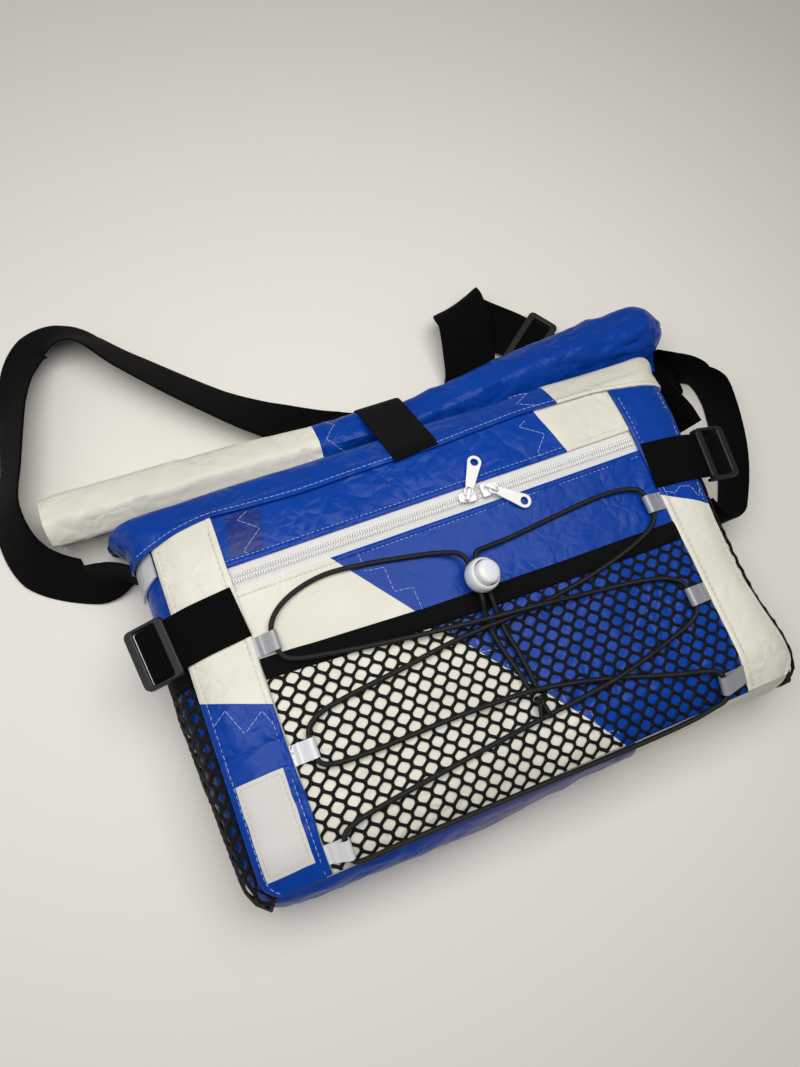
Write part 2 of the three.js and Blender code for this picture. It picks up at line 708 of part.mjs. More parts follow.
function makeRoll() {
  const splitRow = ROLL.find(({ x }) => x === ROLL_SPLIT);
  const white = ROLL.filter(({ x }) => x <= ROLL_SPLIT);
  const blue = [{ ...splitRow, x: ROLL_SPLIT + GAP }, ...ROLL.filter(({ x }) => x > ROLL_SPLIT)];
  for (const [colour, rows] of [['white', white], ['blue', blue]]) {
    const sections = rows.map(rollSection);
    addPiece(`roll_${colour}`, wall(sections.map((s) => s.outer), sections.map((s) => s.inner)), colour);
  }
}

// Strap that ties the roll down: sewn to the collar's front, over the roll and back under it
const CLOSURE = [
  { y: 98, z: 69.9 },
  { y: 103, z: 69 },
  { y: 110, z: 64.9 },
  { y: 118, z: 59.4 },
  { y: 126, z: 54.2 },
  { y: 134, z: 49.4 },
  { y: 141, z: 44.9 },
  { y: 147, z: 39.9 },
  { y: 150.6, z: 32 },
  { y: 150.8, z: 24 },
  { y: 147.6, z: 16.4 },
  { y: 142, z: 10.8 },
  { y: 134, z: 7.6 },
  { y: 126, z: 6 },
  { y: 118, z: 5.4 },
];
const CLOSURE_FOOT_X = -3;
const CLOSURE_SLANT = -0.07;
const CLOSURE_SLANT_RUN = 47;
function makeClosureStrap() {
  const points = CLOSURE.map(({ y, z }) => {
    const run = Math.min(y - CLOSURE[0].y, CLOSURE_SLANT_RUN);
    return new THREE.Vector3(CLOSURE_FOOT_X + CLOSURE_SLANT * run, y, z);
  });
  addPiece('closure_strap', bentWebbing(points, X_AXIS), 'web');
}

// Side tab: sewn on the strip, over the edge, through its tri-glide and back under it
const TAB = [
  { out: 131, z: 72.7 },
  { out: 152.5, z: 72.7 },
  { out: 158.5, z: 71.7 },
  { out: 163.5, z: 70 },
  { out: 168.5, z: 68.1 },
  { out: 175, z: 66.2 },
  { out: 182, z: 64.2 },
  { out: 187, z: 62.8 },
  { out: 188.2, z: 61.5 },
  { out: 188.1, z: 60 },
  { out: 187.1, z: 58.7 },
  { out: 185.3, z: 58.4 },
  { out: 176, z: 60.9 },
];
const TRIGLIDE_AT = TAB[6];
const TRIGLIDE_SLOPE = Math.atan2(TAB[5].z - TAB[7].z, TAB[7].out - TAB[5].out);

// Tri-glide along X: the webbing runs under its two rails and over its middle bar
function makeTriglide({ half, rail, width, slot, top, foot, lift, bar }) {
  return fuse([
    block([-half, -width, lift], [-half + rail, width, top]),
    block([half - rail, -width, lift], [half, width, top]),
    block([-half, -width, foot], [half, -slot, top]),
    block([-half, slot, foot], [half, width, top]),
    block([-bar, -width, foot], [bar, width, -lift]),
  ]);
}

function makeTabs() {
  for (const [side, name] of [[-1, 'left'], [1, 'right']]) {
    const turned = ({ out, z }) => new THREE.Vector3(
      side * (TAB_PIVOT + (out - TAB_PIVOT) * Math.cos(TAB_TURN)),
      TAB_Y - (out - TAB_PIVOT) * Math.sin(TAB_TURN),
      z,
    );
    const across = new THREE.Vector3(side * Math.sin(TAB_TURN), Math.cos(TAB_TURN), 0);
    addPiece(`${name}_tab`, bentWebbing(TAB.map(turned), across), 'web');
    const seat = new THREE.Group();
    seat.position.copy(turned(TRIGLIDE_AT));
    seat.rotation.set(0, side * TRIGLIDE_SLOPE, -side * TAB_TURN, 'ZYX');
    bag.add(seat);
    addPiece(`${name}_triglide`, makeTriglide(TRIGLIDE), 'plastic', seat);
  }
}

function makeLabel() {
  const xs = linesBetween(-163, -137, SIDE_FOLDS);
  const ys = linesBetween(-95, -45, LENGTH_FOLDS);
  addPiece('label_patch', frontLayer(xs, ys, LAYER.label), 'label');
}

// Loops of reflective tape on the strips, which carry the cord: where the cord runs through each
const LOOPS = [
  { name: 'left_1', x: -119, y: 20 },
  { name: 'left_2', x: -119, y: -41 },
  { name: 'left_3', x: -119, y: -95 },
  { name: 'right_1', x: 119, y: 19 },
  { name: 'right_2', x: 118, y: -41.5 },
  { name: 'right_3', x: 114, y: -95 },
];
const LOOP_RADIUS = LOOP_BORE + LOOP_TAPE;
const LOOP_LAP = 2.5;
const LOOP_OPENS = 5;
const LOOP_STEPS = 5;
const LOOP_BASE_LIFT = 0.25;
const BASE_SLOPE = Math.atan(0.385);

// Section of a loop along X: a flat seat at 0 that opens into a bore at the reach
function loopSection(reach) {
  const drop = (radius, start, low, high) => {
    const path = new THREE.Path();
    path.moveTo(start, low);
    path.lineTo(reach, -radius);
    path.absarc(reach, 0, radius, -Math.PI / 2, Math.PI * 0.44, false);
    path.lineTo(start, high);
    path.closePath();
    return path;
  };
  const outer = drop(LOOP_RADIUS, 0, -LOOP_RADIUS, LOOP_TAPE * 2 - LOOP_RADIUS);
  const outline = new THREE.Shape(outer.getPoints(LOOP_STEPS));
  outline.holes.push(drop(LOOP_BORE, LOOP_OPENS, -LOOP_BORE, 0.2 - LOOP_BORE));
  return outline;
}

function makeLoops() {
  for (const { name, x, y } of LOOPS) {
    const side = Math.sign(x);
    const reach = STRIP_EDGE + LOOP_LAP - Math.abs(x);
    const settings = { depth: LOOP_WIDTH, bevelEnabled: false, curveSegments: LOOP_STEPS };
    const loop = new THREE.ExtrudeGeometry(loopSection(reach), settings);
    loop.translate(0, 0, -LOOP_WIDTH / 2);
    loop.rotateX(Math.PI / 2);
    if (side > 0) loop.rotateZ(Math.PI);
    const seat = new THREE.Group();
    const onBase = y < SIDE_FALL_START;
    const lift = LOOP_SEAT + LOOP_RADIUS + (onBase ? LOOP_BASE_LIFT : 0);
    seat.position.set(side * (STRIP_EDGE + LOOP_LAP), y, frontZ(0, y) + lift);
    seat.rotation.x = onBase ? BASE_SLOPE : 0;
    bag.add(seat);
    addPiece(`cord_loop_${name}`, loop, 'reflective', seat);
  }
}

// Route of the cord, with its height over the front: from a tail through the lock, round the loops and back
const CORD_ROUTE = [
  { x: 4.4, y: -59, rise: 3.4 },
  { x: 2.6, y: -46, rise: 3.4 },
  { x: -0.6, y: -32, rise: 3.4 },
  { x: -3, y: -20, rise: 3.4 },
  { x: -3.4, y: -12, rise: 3.5 },
  { x: -3.2, y: -6, rise: 5.2 },
  { x: -2.4, y: 1, rise: 9 },
  { x: -2.4, y: 13, rise: 9 },
  { x: -2.4, y: 25, rise: 9 },
  { x: -5, y: 30, rise: 7.4 },
  { x: -14, y: 34.5, rise: 4 },
  { x: -30, y: 38.5, rise: 2.3 },
  { x: -58, y: 43.5, rise: 2.2 },
  { x: -83, y: 45.5, rise: 2.2 },
  { x: -104, y: 40.5, rise: 2.8 },
  { x: -115, y: 33, rise: 4 },
  { x: -119, y: 26, rise: 4.5 },
  { x: -119, y: 20, rise: 4.5 },
  { x: -119, y: 14, rise: 4.5 },
  { x: -116.5, y: 9, rise: 4.5 },
  { x: -110, y: 6, rise: 4.4 },
  { x: -98, y: 3.5, rise: 4.3 },
  { x: -66, y: -2, rise: 4.4 },
  { x: -28, y: -7.6, rise: 6.6 },
  { x: -4, y: -10.8, rise: 10.2 },
  { x: 14, y: -12.8, rise: 10.4 },
  { x: 30, y: -14.4, rise: 9.8 },
  { x: 50, y: -16.6, rise: 6 },
  { x: 68, y: -18.6, rise: 3.6 },
  { x: 96, y: -22.6, rise: 3.5 },
  { x: 111, y: -27, rise: 3.9 },
  { x: 117, y: -32.5, rise: 4.4 },
  { x: 118, y: -38, rise: 4.5 },
  { x: 118, y: -45, rise: 4.5 },
  { x: 116.6, y: -50.5, rise: 4.4 },
  { x: 110, y: -55, rise: 3.8 },
  { x: 94, y: -59.6, rise: 3.6 },
  { x: 74, y: -64, rise: 5.2 },
  { x: 54, y: -67.6, rise: 6.9 },
  { x: 32, y: -70.2, rise: 5 },
  { x: 4, y: -72.4, rise: 3.5 },
  { x: -48, y: -77, rise: 3.5 },
  { x: -92, y: -81.4, rise: 3.6 },
  { x: -110, y: -84, rise: 4.2 },
  { x: -117, y: -86.6, rise: 5.1 },
  { x: -119, y: -89.5, rise: 5.5 },
  { x: -119, y: -95, rise: 4.9 },
  { x: -119, y: -100.5, rise: 5.5 },
  { x: -116.4, y: -103, rise: 5.2 },
  { x: -109, y: -104, rise: 4.3 },
  { x: -94, y: -104, rise: 3.9 },
  { x: -42, y: -104, rise: 3.8 },
  { x: 8, y: -104, rise: 3.8 },
  { x: 56, y: -104, rise: 3.8 },
  { x: 92, y: -104, rise: 3.9 },
  { x: 104, y: -104, rise: 4.3 },
  { x: 111.6, y: -103.4, rise: 5.1 },
  { x: 114, y: -100.8, rise: 5.5 },
  { x: 114, y: -95, rise: 4.9 },
  { x: 114, y: -89.3, rise: 5.5 },
  { x: 111.6, y: -86, rise: 5 },
  { x: 104, y: -83, rise: 4.2 },
  { x: 88, y: -78.6, rise: 3.5 },
  { x: 54, y: -67.6, rise: 3.4 },
  { x: 30, y: -61.4, rise: 5.2 },
  { x: 10, y: -57.4, rise: 6.9 },
  { x: -2, y: -56, rise: 6.8 },
  { x: -20, y: -54.8, rise: 5 },
  { x: -44, y: -54, rise: 3.5 },
  { x: -88, y: -54, rise: 3.5 },
  { x: -108, y: -53, rise: 4 },
  { x: -116.4, y: -50.4, rise: 4.4 },
  { x: -119, y: -46, rise: 4.5 },
  { x: -119, y: -36, rise: 4.5 },
  { x: -116.4, y: -29.6, rise: 4.4 },
  { x: -108, y: -25, rise: 3.8 },
  { x: -94, y: -22.6, rise: 3.5 },
  { x: -60, y: -19.2, rise: 3.5 },
  { x: -30, y: -15.8, rise: 4.4 },
  { x: -8, y: -14.6, rise: 6.8 },
  { x: 8, y: -14.4, rise: 6.9 },
  { x: 28, y: -13.4, rise: 5.6 },
  { x: 50, y: -11, rise: 3.7 },
  { x: 78, y: -6, rise: 4 },
  { x: 102, y: 0.6, rise: 4.3 },
  { x: 114, y: 6, rise: 4.4 },
  { x: 118.4, y: 11, rise: 4.5 },
  { x: 119, y: 15, rise: 4.5 },
  { x: 119, y: 24, rise: 4.5 },
  { x: 116.6, y: 29.6, rise: 4.2 },
  { x: 109, y: 33, rise: 2.9 },
  { x: 92, y: 34.4, rise: 2.2 },
  { x: 62, y: 32.4, rise: 2.2 },
  { x: 30, y: 29.4, rise: 2.6 },
  { x: 14, y: 28.6, rise: 4.4 },
  { x: 6, y: 27.6, rise: 6.4 },
  { x: 3.6, y: 24, rise: 6.8 },
  { x: 3.6, y: 13, rise: 6.8 },
  { x: 3.6, y: 1, rise: 6.8 },
  { x: 3.8, y: -6, rise: 5 },
  { x: 4, y: -12, rise: 3.5 },
  { x: 4.4, y: -20, rise: 3.4 },
  { x: 6.4, y: -32, rise: 3.4 },
  { x: 8, y: -46, rise: 3.4 },
  { x: 8.4, y: -59, rise: 3.4 },
];

function makeCord() {
  const points = CORD_ROUTE.map(({ x, y, rise }) => new THREE.Vector3(x, y, frontZ(0, y) + rise));
  const ring = new THREE.EllipseCurve(0, 0, CORD / 2, CORD / 2).getPoints(CORD_SIDES).slice(0, -1);
  const settings = { steps: points.length - 1, extrudePath: new Route(points), bevelEnabled: false };
  addPiece('bungee_cord', new THREE.ExtrudeGeometry(new THREE.Shape(ring), settings), 'cord');
  const knot = new THREE.SphereGeometry(KNOT.radius, 10, 7);
  knot.translate(KNOT.x, KNOT.y, DEPTH + LAYER.net[1] + KNOT.rise);
  addPiece('bungee_knot', knot, 'cord');
}

// Lock on the cord: a round body with two bores and a button that slides into its top
const LOCK_AT = { x: -0.5, y: 13, rise: 4.9 };
function makeLock() {
  const seat = new THREE.Group();
  seat.position.set(LOCK_AT.x, LOCK_AT.y, DEPTH + LOCK_AT.rise);
  seat.rotation.y = THREE.MathUtils.degToRad(LOCK_TILT);
  bag.add(seat);
  const profile = (rows) => rows.map(({ r, h }) => new THREE.Vector2(r, h));
  const body = new THREE.LatheGeometry(profile([
    { r: 0, h: 0 },
    { r: 6.5, h: 0 },
    { r: 9, h: 1.6 },
    { r: 10.2, h: 5 },
    { r: 10.2, h: 10 },
    { r: 9.6, h: 12 },
    { r: 8.4, h: 12.4 },
    { r: 8.4, h: 6 },
    { r: 0, h: 6 },
  ]), LOCK_SIDES).rotateX(Math.PI / 2);
  const bore = new THREE.CylinderGeometry(LOCK_BORE / 2, LOCK_BORE / 2, 30, LOCK_SIDES / 2);
  const bores = [-1, 1].map((side) => (
    bore.clone().translate(side * LOCK_BORE_SPACING, 0, LOCK_BORE_HEIGHT)));
  addPiece('cord_lock_body', cutAway(body, bores), 'lock', seat);
  const button = new THREE.LatheGeometry(profile([
    { r: 0, h: 9.4 },
    { r: 8, h: 9.4 },
    { r: 8, h: 14.6 },
    { r: 7, h: 16 },
    { r: 4, h: 16.6 },
    { r: 0, h: 16.8 },
  ]), LOCK_SIDES).rotateX(Math.PI / 2);
  addPiece('cord_lock_button', button, 'lock', seat);
}

// Shoulder strap as it lies. In degrees, turn is the way its right-hand edge faces in plan and tilt how far
// that edge stands up.
const STRAP = [
  { x: -181.9, y: 92.5, z: 28, turn: 64, tilt: 85 },
  { x: -194, y: 98.5, z: 25, turn: 65, tilt: 74 },
  { x: -211.5, y: 101.5, z: 16.6, turn: 52, tilt: 48 },
  { x: -241.3, y: 124, z: 14.2, turn: 33, tilt: 44 },
  { x: -248, y: 158, z: 16, turn: 4, tilt: 50 },
  { x: -238, y: 191, z: 16.5, turn: -16, tilt: 53 },
  { x: -228, y: 228, z: 15.5, turn: -19, tilt: 48 },
  { x: -219.5, y: 254, z: 12, turn: -42, tilt: 36 },
  { x: -206, y: 272, z: 9.5, turn: -62, tilt: 27 },
  { x: -188.8, y: 274, z: 13, turn: -74, tilt: 39 },
  { x: -172, y: 266, z: 16, turn: -92, tilt: 51 },
  { x: -149.7, y: 241.3, z: 15.4, turn: -117, tilt: 49 },
  { x: -103.4, y: 195.2, z: 13.5, turn: -129, tilt: 41 },
  { x: -75.9, y: 174, z: 11, turn: -128, tilt: 30 },
  { x: -33.6, y: 149.5, z: 3.6, turn: -116, tilt: 2 },
  { x: 3, y: 137.5, z: 3.2, turn: -103, tilt: 0 },
  { x: 60, y: 140.5, z: 3.2, turn: -50, tilt: 0 },
  { x: 72, y: 156, z: 8, turn: -14, tilt: 0 },
  { x: 77, y: 178, z: 18, turn: -6, tilt: 0 },
  { x: 79.7, y: 198.5, z: 25.8, turn: -4, tilt: 2 },
  { x: 80.4, y: 208.9, z: 22.8, turn: 6, tilt: 14 },
  { x: 83.1, y: 213.4, z: 15, turn: 16, tilt: 22 },
  { x: 88, y: 211.6, z: 7.2, turn: 28, tilt: 12 },
  { x: 94.5, y: 206, z: 4.2, turn: 35, tilt: 0 },
  { x: 117, y: 184.5, z: 4.6, turn: 36, tilt: 0 },
  { x: 127.5, y: 172.3, z: 4.6, turn: 38, tilt: 0 },
  { x: 138, y: 158.5, z: 4.6, turn: 38, tilt: 0 },
  { x: 153, y: 145.5, z: 3.4, turn: 46, tilt: 0 },
  { x: 184, y: 130, z: 3.2, turn: 58, tilt: 0 },
  { x: 201, y: 119.8, z: 3.2, turn: 64, tilt: 0 },
  { x: 212, y: 115, z: 11.2, turn: 66, tilt: 38 },
  { x: 218.5, y: 112.3, z: 18.8, turn: 64, tilt: 82 },
  { x: 231, y: 103, z: 19.6, turn: 45, tilt: 100 },
  { x: 236.5, y: 91, z: 19.6, turn: 14, tilt: 90 },
  { x: 234, y: 70, z: 19.5, turn: -10, tilt: 88 },
  { x: 224, y: 36, z: 19.5, turn: -20, tilt: 88 },
  { x: 209, y: 9, z: 20, turn: -38, tilt: 88 },
  { x: 198, y: -2, z: 22, turn: -60, tilt: 88 },
  { x: 187, y: -2, z: 24, turn: -110, tilt: 88 },
  { x: 179.4, y: 14.4, z: 26, turn: -155, tilt: 88 },
];

// Short end of webbing that is sewn under the collar at the right and stands off the gusset
const ANCHOR = [
  { x: 179.5, y: 96.2, z: 43, turn: -166, tilt: -82 },
  { x: 182, y: 84, z: 42.5, turn: -165, tilt: -78 },
  { x: 185, y: 74, z: 42, turn: -166, tilt: -75 },
  { x: 187, y: 63, z: 41, turn: -168, tilt: -75 },
];
const SLIDER_ROW = 25;
const STRAP_STEPS = 2;

function strapStations(table) {
  const route = new Route(table.map(({ x, y, z }) => new THREE.Vector3(x, y, z)));
  const last = table.length - 1;
  return Array.from({ length: last * STRAP_STEPS + 1 }, (_, k) => {
    const share = k / (last * STRAP_STEPS);
    const row = Math.min(Math.floor(share * last), last - 1);
    const between = (column) => THREE.MathUtils.degToRad(
      THREE.MathUtils.lerp(table[row][column], table[row + 1][column], share * last - row),
    );
    const along = route.getTangent(share);
    const edge = new THREE.Vector3(Math.cos(between('tilt')), 0, Math.sin(between('tilt')))
      .applyAxisAngle(Z_AXIS, between('turn'));
    const across = edge.projectOnPlane(along).normalize();
    const face = across.clone().cross(along).normalize();
    return { point: route.getPoint(share), across, face };
  });
}

function makeShoulderStrap() {
  addPiece('shoulder_strap', webbing(strapStations(STRAP), STRAP_WIDTH), 'web');
  addPiece('right_anchor', webbing(strapStations(ANCHOR)), 'web');
  const { x, y, z } = STRAP[SLIDER_ROW];
  const next = STRAP[SLIDER_ROW + 1];
  const seat = new THREE.Group();
  seat.position.set(x, y, z);
  seat.rotation.z = Math.atan2(next.y - y, next.x - x);
  bag.add(seat);
  addPiece('shoulder_slider', makeTriglide(STRAP_GLIDE), 'plastic', seat);
}

makeBack();
makeGussets();
makeFrontPanels();
makeStrips();
makeZip();
makeFrontPocket();
makeSidePockets();
makeCollar();
makeRoll();
makeClosureStrap();
makeTabs();
makeLabel();
makeLoops();
makeCord();
makeLock();
makeShoulderStrap();

export default bag;
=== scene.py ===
"""Visual layer of the roll-top messenger bag: cloth, net, webbing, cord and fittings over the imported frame.

Lengths in the tables and builders are millimetres in the frame of the part: +X runs across the bag, +Y from
its base to the rolled top and +Z out of the front. Meshes are written in metres.
"""

import logging
import math
from dataclasses import dataclass, field
from enum import Enum
from typing import Callable, NamedTuple, Sequence

import bmesh
import bpy
import numpy as np
from mathutils import Matrix, Vector


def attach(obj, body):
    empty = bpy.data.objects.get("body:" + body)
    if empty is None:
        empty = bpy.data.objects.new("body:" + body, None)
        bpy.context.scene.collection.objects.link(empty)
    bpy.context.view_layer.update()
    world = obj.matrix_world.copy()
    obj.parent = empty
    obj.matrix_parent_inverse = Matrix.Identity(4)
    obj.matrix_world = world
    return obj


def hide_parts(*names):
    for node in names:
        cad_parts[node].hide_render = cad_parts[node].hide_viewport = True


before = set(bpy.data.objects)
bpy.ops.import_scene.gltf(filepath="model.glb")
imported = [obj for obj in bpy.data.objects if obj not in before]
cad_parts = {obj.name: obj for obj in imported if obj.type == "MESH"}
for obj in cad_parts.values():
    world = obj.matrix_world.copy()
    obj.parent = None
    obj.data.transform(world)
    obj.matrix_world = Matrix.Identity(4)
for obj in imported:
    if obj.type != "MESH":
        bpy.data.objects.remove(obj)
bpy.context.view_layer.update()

MM = 0.001
UP = np.array((0.0, 0.0, 1.0))
Array = np.ndarray
Line = Callable[[Array], Array]
log = logging.getLogger("bag")


class Body(str, Enum):
    """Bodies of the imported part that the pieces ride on."""

    BAG = "bag"
    PULL_LEFT = "pull_left"
    PULL_RIGHT = "pull_right"
    BUTTON = "lock_button"


class Side(Enum):
    """Left and right side of the bag, as the sign of X."""

    LEFT = -1
    RIGHT = 1

    @property
    def word(self) -> str:
        """Lower-case name of the side."""
        return self.name.lower()


def fade(share: Array) -> Array:
    """Soft step from 0 to 1."""
    share = np.clip(share, 0.0, 1.0)
    return share * share * (3.0 - 2.0 * share)


def unit(vectors: Array) -> Array:
    """Vectors scaled to length 1."""
    return vectors / np.maximum(np.linalg.norm(vectors, axis=-1, keepdims=True), 1e-9)


def steps(start: float, end: float, size: float) -> Array:
    """Even steps from start to end, each about as long as size."""
    return np.linspace(start, end, max(2, int(round(abs(end - start) / size)) + 1))


def spline(rows: Sequence[Sequence[float]], count: int) -> Array:
    """Centripetal curve through rows.

    Args:
        rows: Points, with any further columns after their three coordinates.
        count: Steps between two rows.

    Returns:
        Array of the curve's rows, the last one included.
    """
    rows = np.asarray(rows, float)
    padded = np.vstack([2 * rows[0] - rows[1], rows, 2 * rows[-1] - rows[-2]])
    gaps = np.maximum(np.linalg.norm(np.diff(padded[:, :3], axis=0), axis=1), 1e-4) ** 0.5
    t = np.linspace(0, 1, count, endpoint=False)[:, None]
    spans = []
    for k in range(len(rows) - 1):
        p0, p1, p2, p3 = padded[k:k + 4]
        d0, d1, d2 = gaps[k:k + 3]
        start = ((p1 - p0) / d0 - (p2 - p0) / (d0 + d1) + (p2 - p1) / d1) * d1
        end = ((p2 - p1) / d1 - (p3 - p1) / (d1 + d2) + (p3 - p2) / d2) * d1
        ease = t * t * (3 - 2 * t)
        spans.append((1 - ease) * p1 + ease * p2 + t * (1 - t) * ((1 - t) * start - t * end))
    return np.vstack([*spans, rows[-1:]])


def distances(points: Array) -> Array:
    """Distance of each point from the first, along the line of points."""
    return np.concatenate([[0], np.cumsum(np.linalg.norm(np.diff(points, axis=0), axis=1))])


def pairs(first: Array, second: Array) -> Array:
    """Places of two coordinates from two grids of values."""
    return np.stack(np.broadcast_arrays(first, second), axis=-1)


def resample(points: Array, step: float) -> Array:
    """Points at even distances along a line of points."""
    run = distances(points)
    at = steps(0, run[-1], step)
    return np.stack([np.interp(at, run, column) for column in points.T], axis=1)


class Ripple:
    """Seeded smooth noise over the plane."""

    CELLS = 64

    def __init__(self, seed: int) -> None:
        """Draws the heights of the grid that the noise runs through."""
        self._grid = np.random.default_rng(seed).uniform(-1, 1, (self.CELLS, self.CELLS))

    def at(self, u: Array, v: Array) -> Array:
        """Smooth noise from -1 to 1, one bump per unit."""
        u, v = np.broadcast_arrays(np.asarray(u, float), np.asarray(v, float))
        low_u, low_v = np.floor(u), np.floor(v)
        i, j = low_u.astype(int), low_v.astype(int)
        share_u, share_v = fade(u - low_u), fade(v - low_v)
        pick = lambda a, b: self._grid[(i + a) % self.CELLS, (j + b) % self.CELLS]
        low = pick(0, 0) * (1 - share_u) + pick(1, 0) * share_u
        high = pick(0, 1) * (1 - share_u) + pick(1, 1) * share_u
        return low * (1 - share_v) + high * share_v

    def crumple(self, u: Array, v: Array, octaves: int = 3) -> Array:
        """Sharp creases between smooth dents, about -0.5 to 0.5."""
        total = 0.0
        for k in range(octaves):
            turned_u = u * math.cos(k) - v * math.sin(k)
            turned_v = u * math.sin(k) + v * math.cos(k)
            scale = 2.0 ** k
            total = total + (0.4 - np.abs(self.at(turned_u * scale + 7.3 * k, turned_v * scale))) / scale
        return total * 0.6


class MeshDraft:
    """Points, faces and texture places of one mesh, gathered in millimetres."""

    def __init__(self) -> None:
        """Starts without any points."""
        self._points: list[Array] = []
        self._uvs: list[Array] = []
        self._faces: list[list[int]] = []
        self._count = 0

    def add(self, points: Array, faces: Sequence[Sequence[int]], uv: Array | None = None) -> None:
        """Adds points and faces.

        Args:
            points: Places of the points, in any grid shape.
            faces: Rows of indices into the points.
            uv: Texture place of each point, or None to take X and Y.
        """
        flat = np.asarray(points, float).reshape(-1, 3)
        self._points.append(flat)
        self._uvs.append(flat[:, :2] if uv is None else np.asarray(uv, float).reshape(-1, 2))
        self._faces.extend((np.asarray(faces, int) + self._count).tolist())
        self._count += len(flat)

    @staticmethod
    def quads(rows: int, cols: int, wrap: bool = False) -> Array:
        """Faces of a grid, closed from its last column to its first if it wraps."""
        r, c = np.meshgrid(np.arange(rows - 1), np.arange(cols if wrap else cols - 1), indexing="ij")
        after = (c + 1) % cols
        corners = (r * cols + c, r * cols + after, (r + 1) * cols + after, (r + 1) * cols + c)
        return np.stack(corners, axis=-1).reshape(-1, 4)

    def shell(self, outer: Array, inner: Array, uv: Array | None = None) -> None:
        """Adds a closed wall between two grids.

        Args:
            outer: Grid of points of the outer face.
            inner: Grid of points of the inner face.
            uv: Texture place of each grid point.
        """
        rows, cols = outer.shape[:2]
        size = rows * cols
        top = self.quads(rows, cols)
        ring = [
            *(c for c in range(cols)),
            *(r * cols + cols - 1 for r in range(1, rows)),
            *((rows - 1) * cols + c for c in range(cols - 2, -1, -1)),
            *(r * cols for r in range(rows - 2, 0, -1)),
        ]
        rim = [[b, a, a + size, b + size] for a, b in zip(ring, ring[1:] + ring[:1])]
        both_uv = None if uv is None else np.concatenate([uv.reshape(-1, 2)] * 2)
        points = np.concatenate([outer.reshape(-1, 3), inner.reshape(-1, 3)])
        self.add(points, np.concatenate([top, top[:, ::-1] + size, np.array(rim)]), both_uv)

    def loops(self, rings: Array, uv: Array | None = None) -> None:
        """Adds a closed skin over rings of points, with a flat end at each side."""
        count, sides = rings.shape[:2]
        self.add(rings, self.quads(count, sides, wrap=True), uv)
        ends = np.concatenate([rings[:1], rings[-1:]]).reshape(-1, 3)
        self.add(ends, [list(range(sides)), list(range(2 * sides - 1, sides - 1, -1))])

    def tube(self, line: Array, radius: float, sides: int = 10) -> None:
        """Adds a round tube along a line of points, with its texture measured round and along it."""
        along = unit(np.gradient(line, axis=0))
        first = np.cross(along[0], UP if abs(along[0, 2]) < 0.9 else (1.0, 0.0, 0.0))
        frames = [first / np.linalg.norm(first)]
        for step in along[1:]:
            turned = frames[-1] - step * np.dot(frames[-1], step)
            frames.append(turned / np.linalg.norm(turned))
        across = np.array(frames)
        over = np.cross(along, across)
        angle = np.linspace(0, 2 * math.pi, sides, endpoint=False)
        ring = across[:, None] * np.cos(angle)[:, None] + over[:, None] * np.sin(angle)[:, None]
        self.loops(line[:, None] + radius * ring, pairs(angle[None] * radius, distances(line)[:, None]))

    def plate(self, cut: tuple[Array, list[list[int]]], matrix: Matrix) -> None:
        """Adds a cut plate, whose faces differ in their number of corners."""
        points, faces = cut
        moved = placed(points, matrix)
        for count in sorted({len(face) for face in faces}):
            self.add(moved, [face for face in faces if len(face) == count])

    def copies(self, points: Array, faces: Array, places: Array) -> None:
        """Adds one small form at many places."""
        moved = places[:, None] + points[None]
        shifts = np.arange(len(places))[:, None, None] * len(points)
        self.add(moved, (faces[None] + shifts).reshape(-1, faces.shape[1]))

    def build(self, name: str, material: bpy.types.Material, crease: float) -> bpy.types.Object:
        """Makes the mesh.

        Args:
            name: Name of the piece.
            material: Material that it wears.
            crease: Angle in degrees above which an edge stays sharp.

        Returns:
            The new object, in metres.
        """
        mesh = bpy.data.meshes.new(name)
        points = np.concatenate(self._points) * MM
        mesh.from_pydata(points.tolist(), [], self._faces)
        layer = mesh.uv_layers.new(name="cloth")
        corner = np.empty(len(mesh.loops), dtype=np.int32)
        mesh.loops.foreach_get("vertex_index", corner)
        layer.data.foreach_set("uv", np.concatenate(self._uvs)[corner].astype(np.float32).ravel())
        mesh.materials.append(material)
        work = bmesh.new()
        work.from_mesh(mesh)
        bmesh.ops.recalc_face_normals(work, faces=work.faces)
        work.to_mesh(mesh)
        work.free()
        mesh.shade_smooth()
        mesh.set_sharp_from_angle(angle=math.radians(crease))
        piece = bpy.data.objects.new(name, mesh)
        bpy.context.scene.collection.objects.link(piece)
        return piece


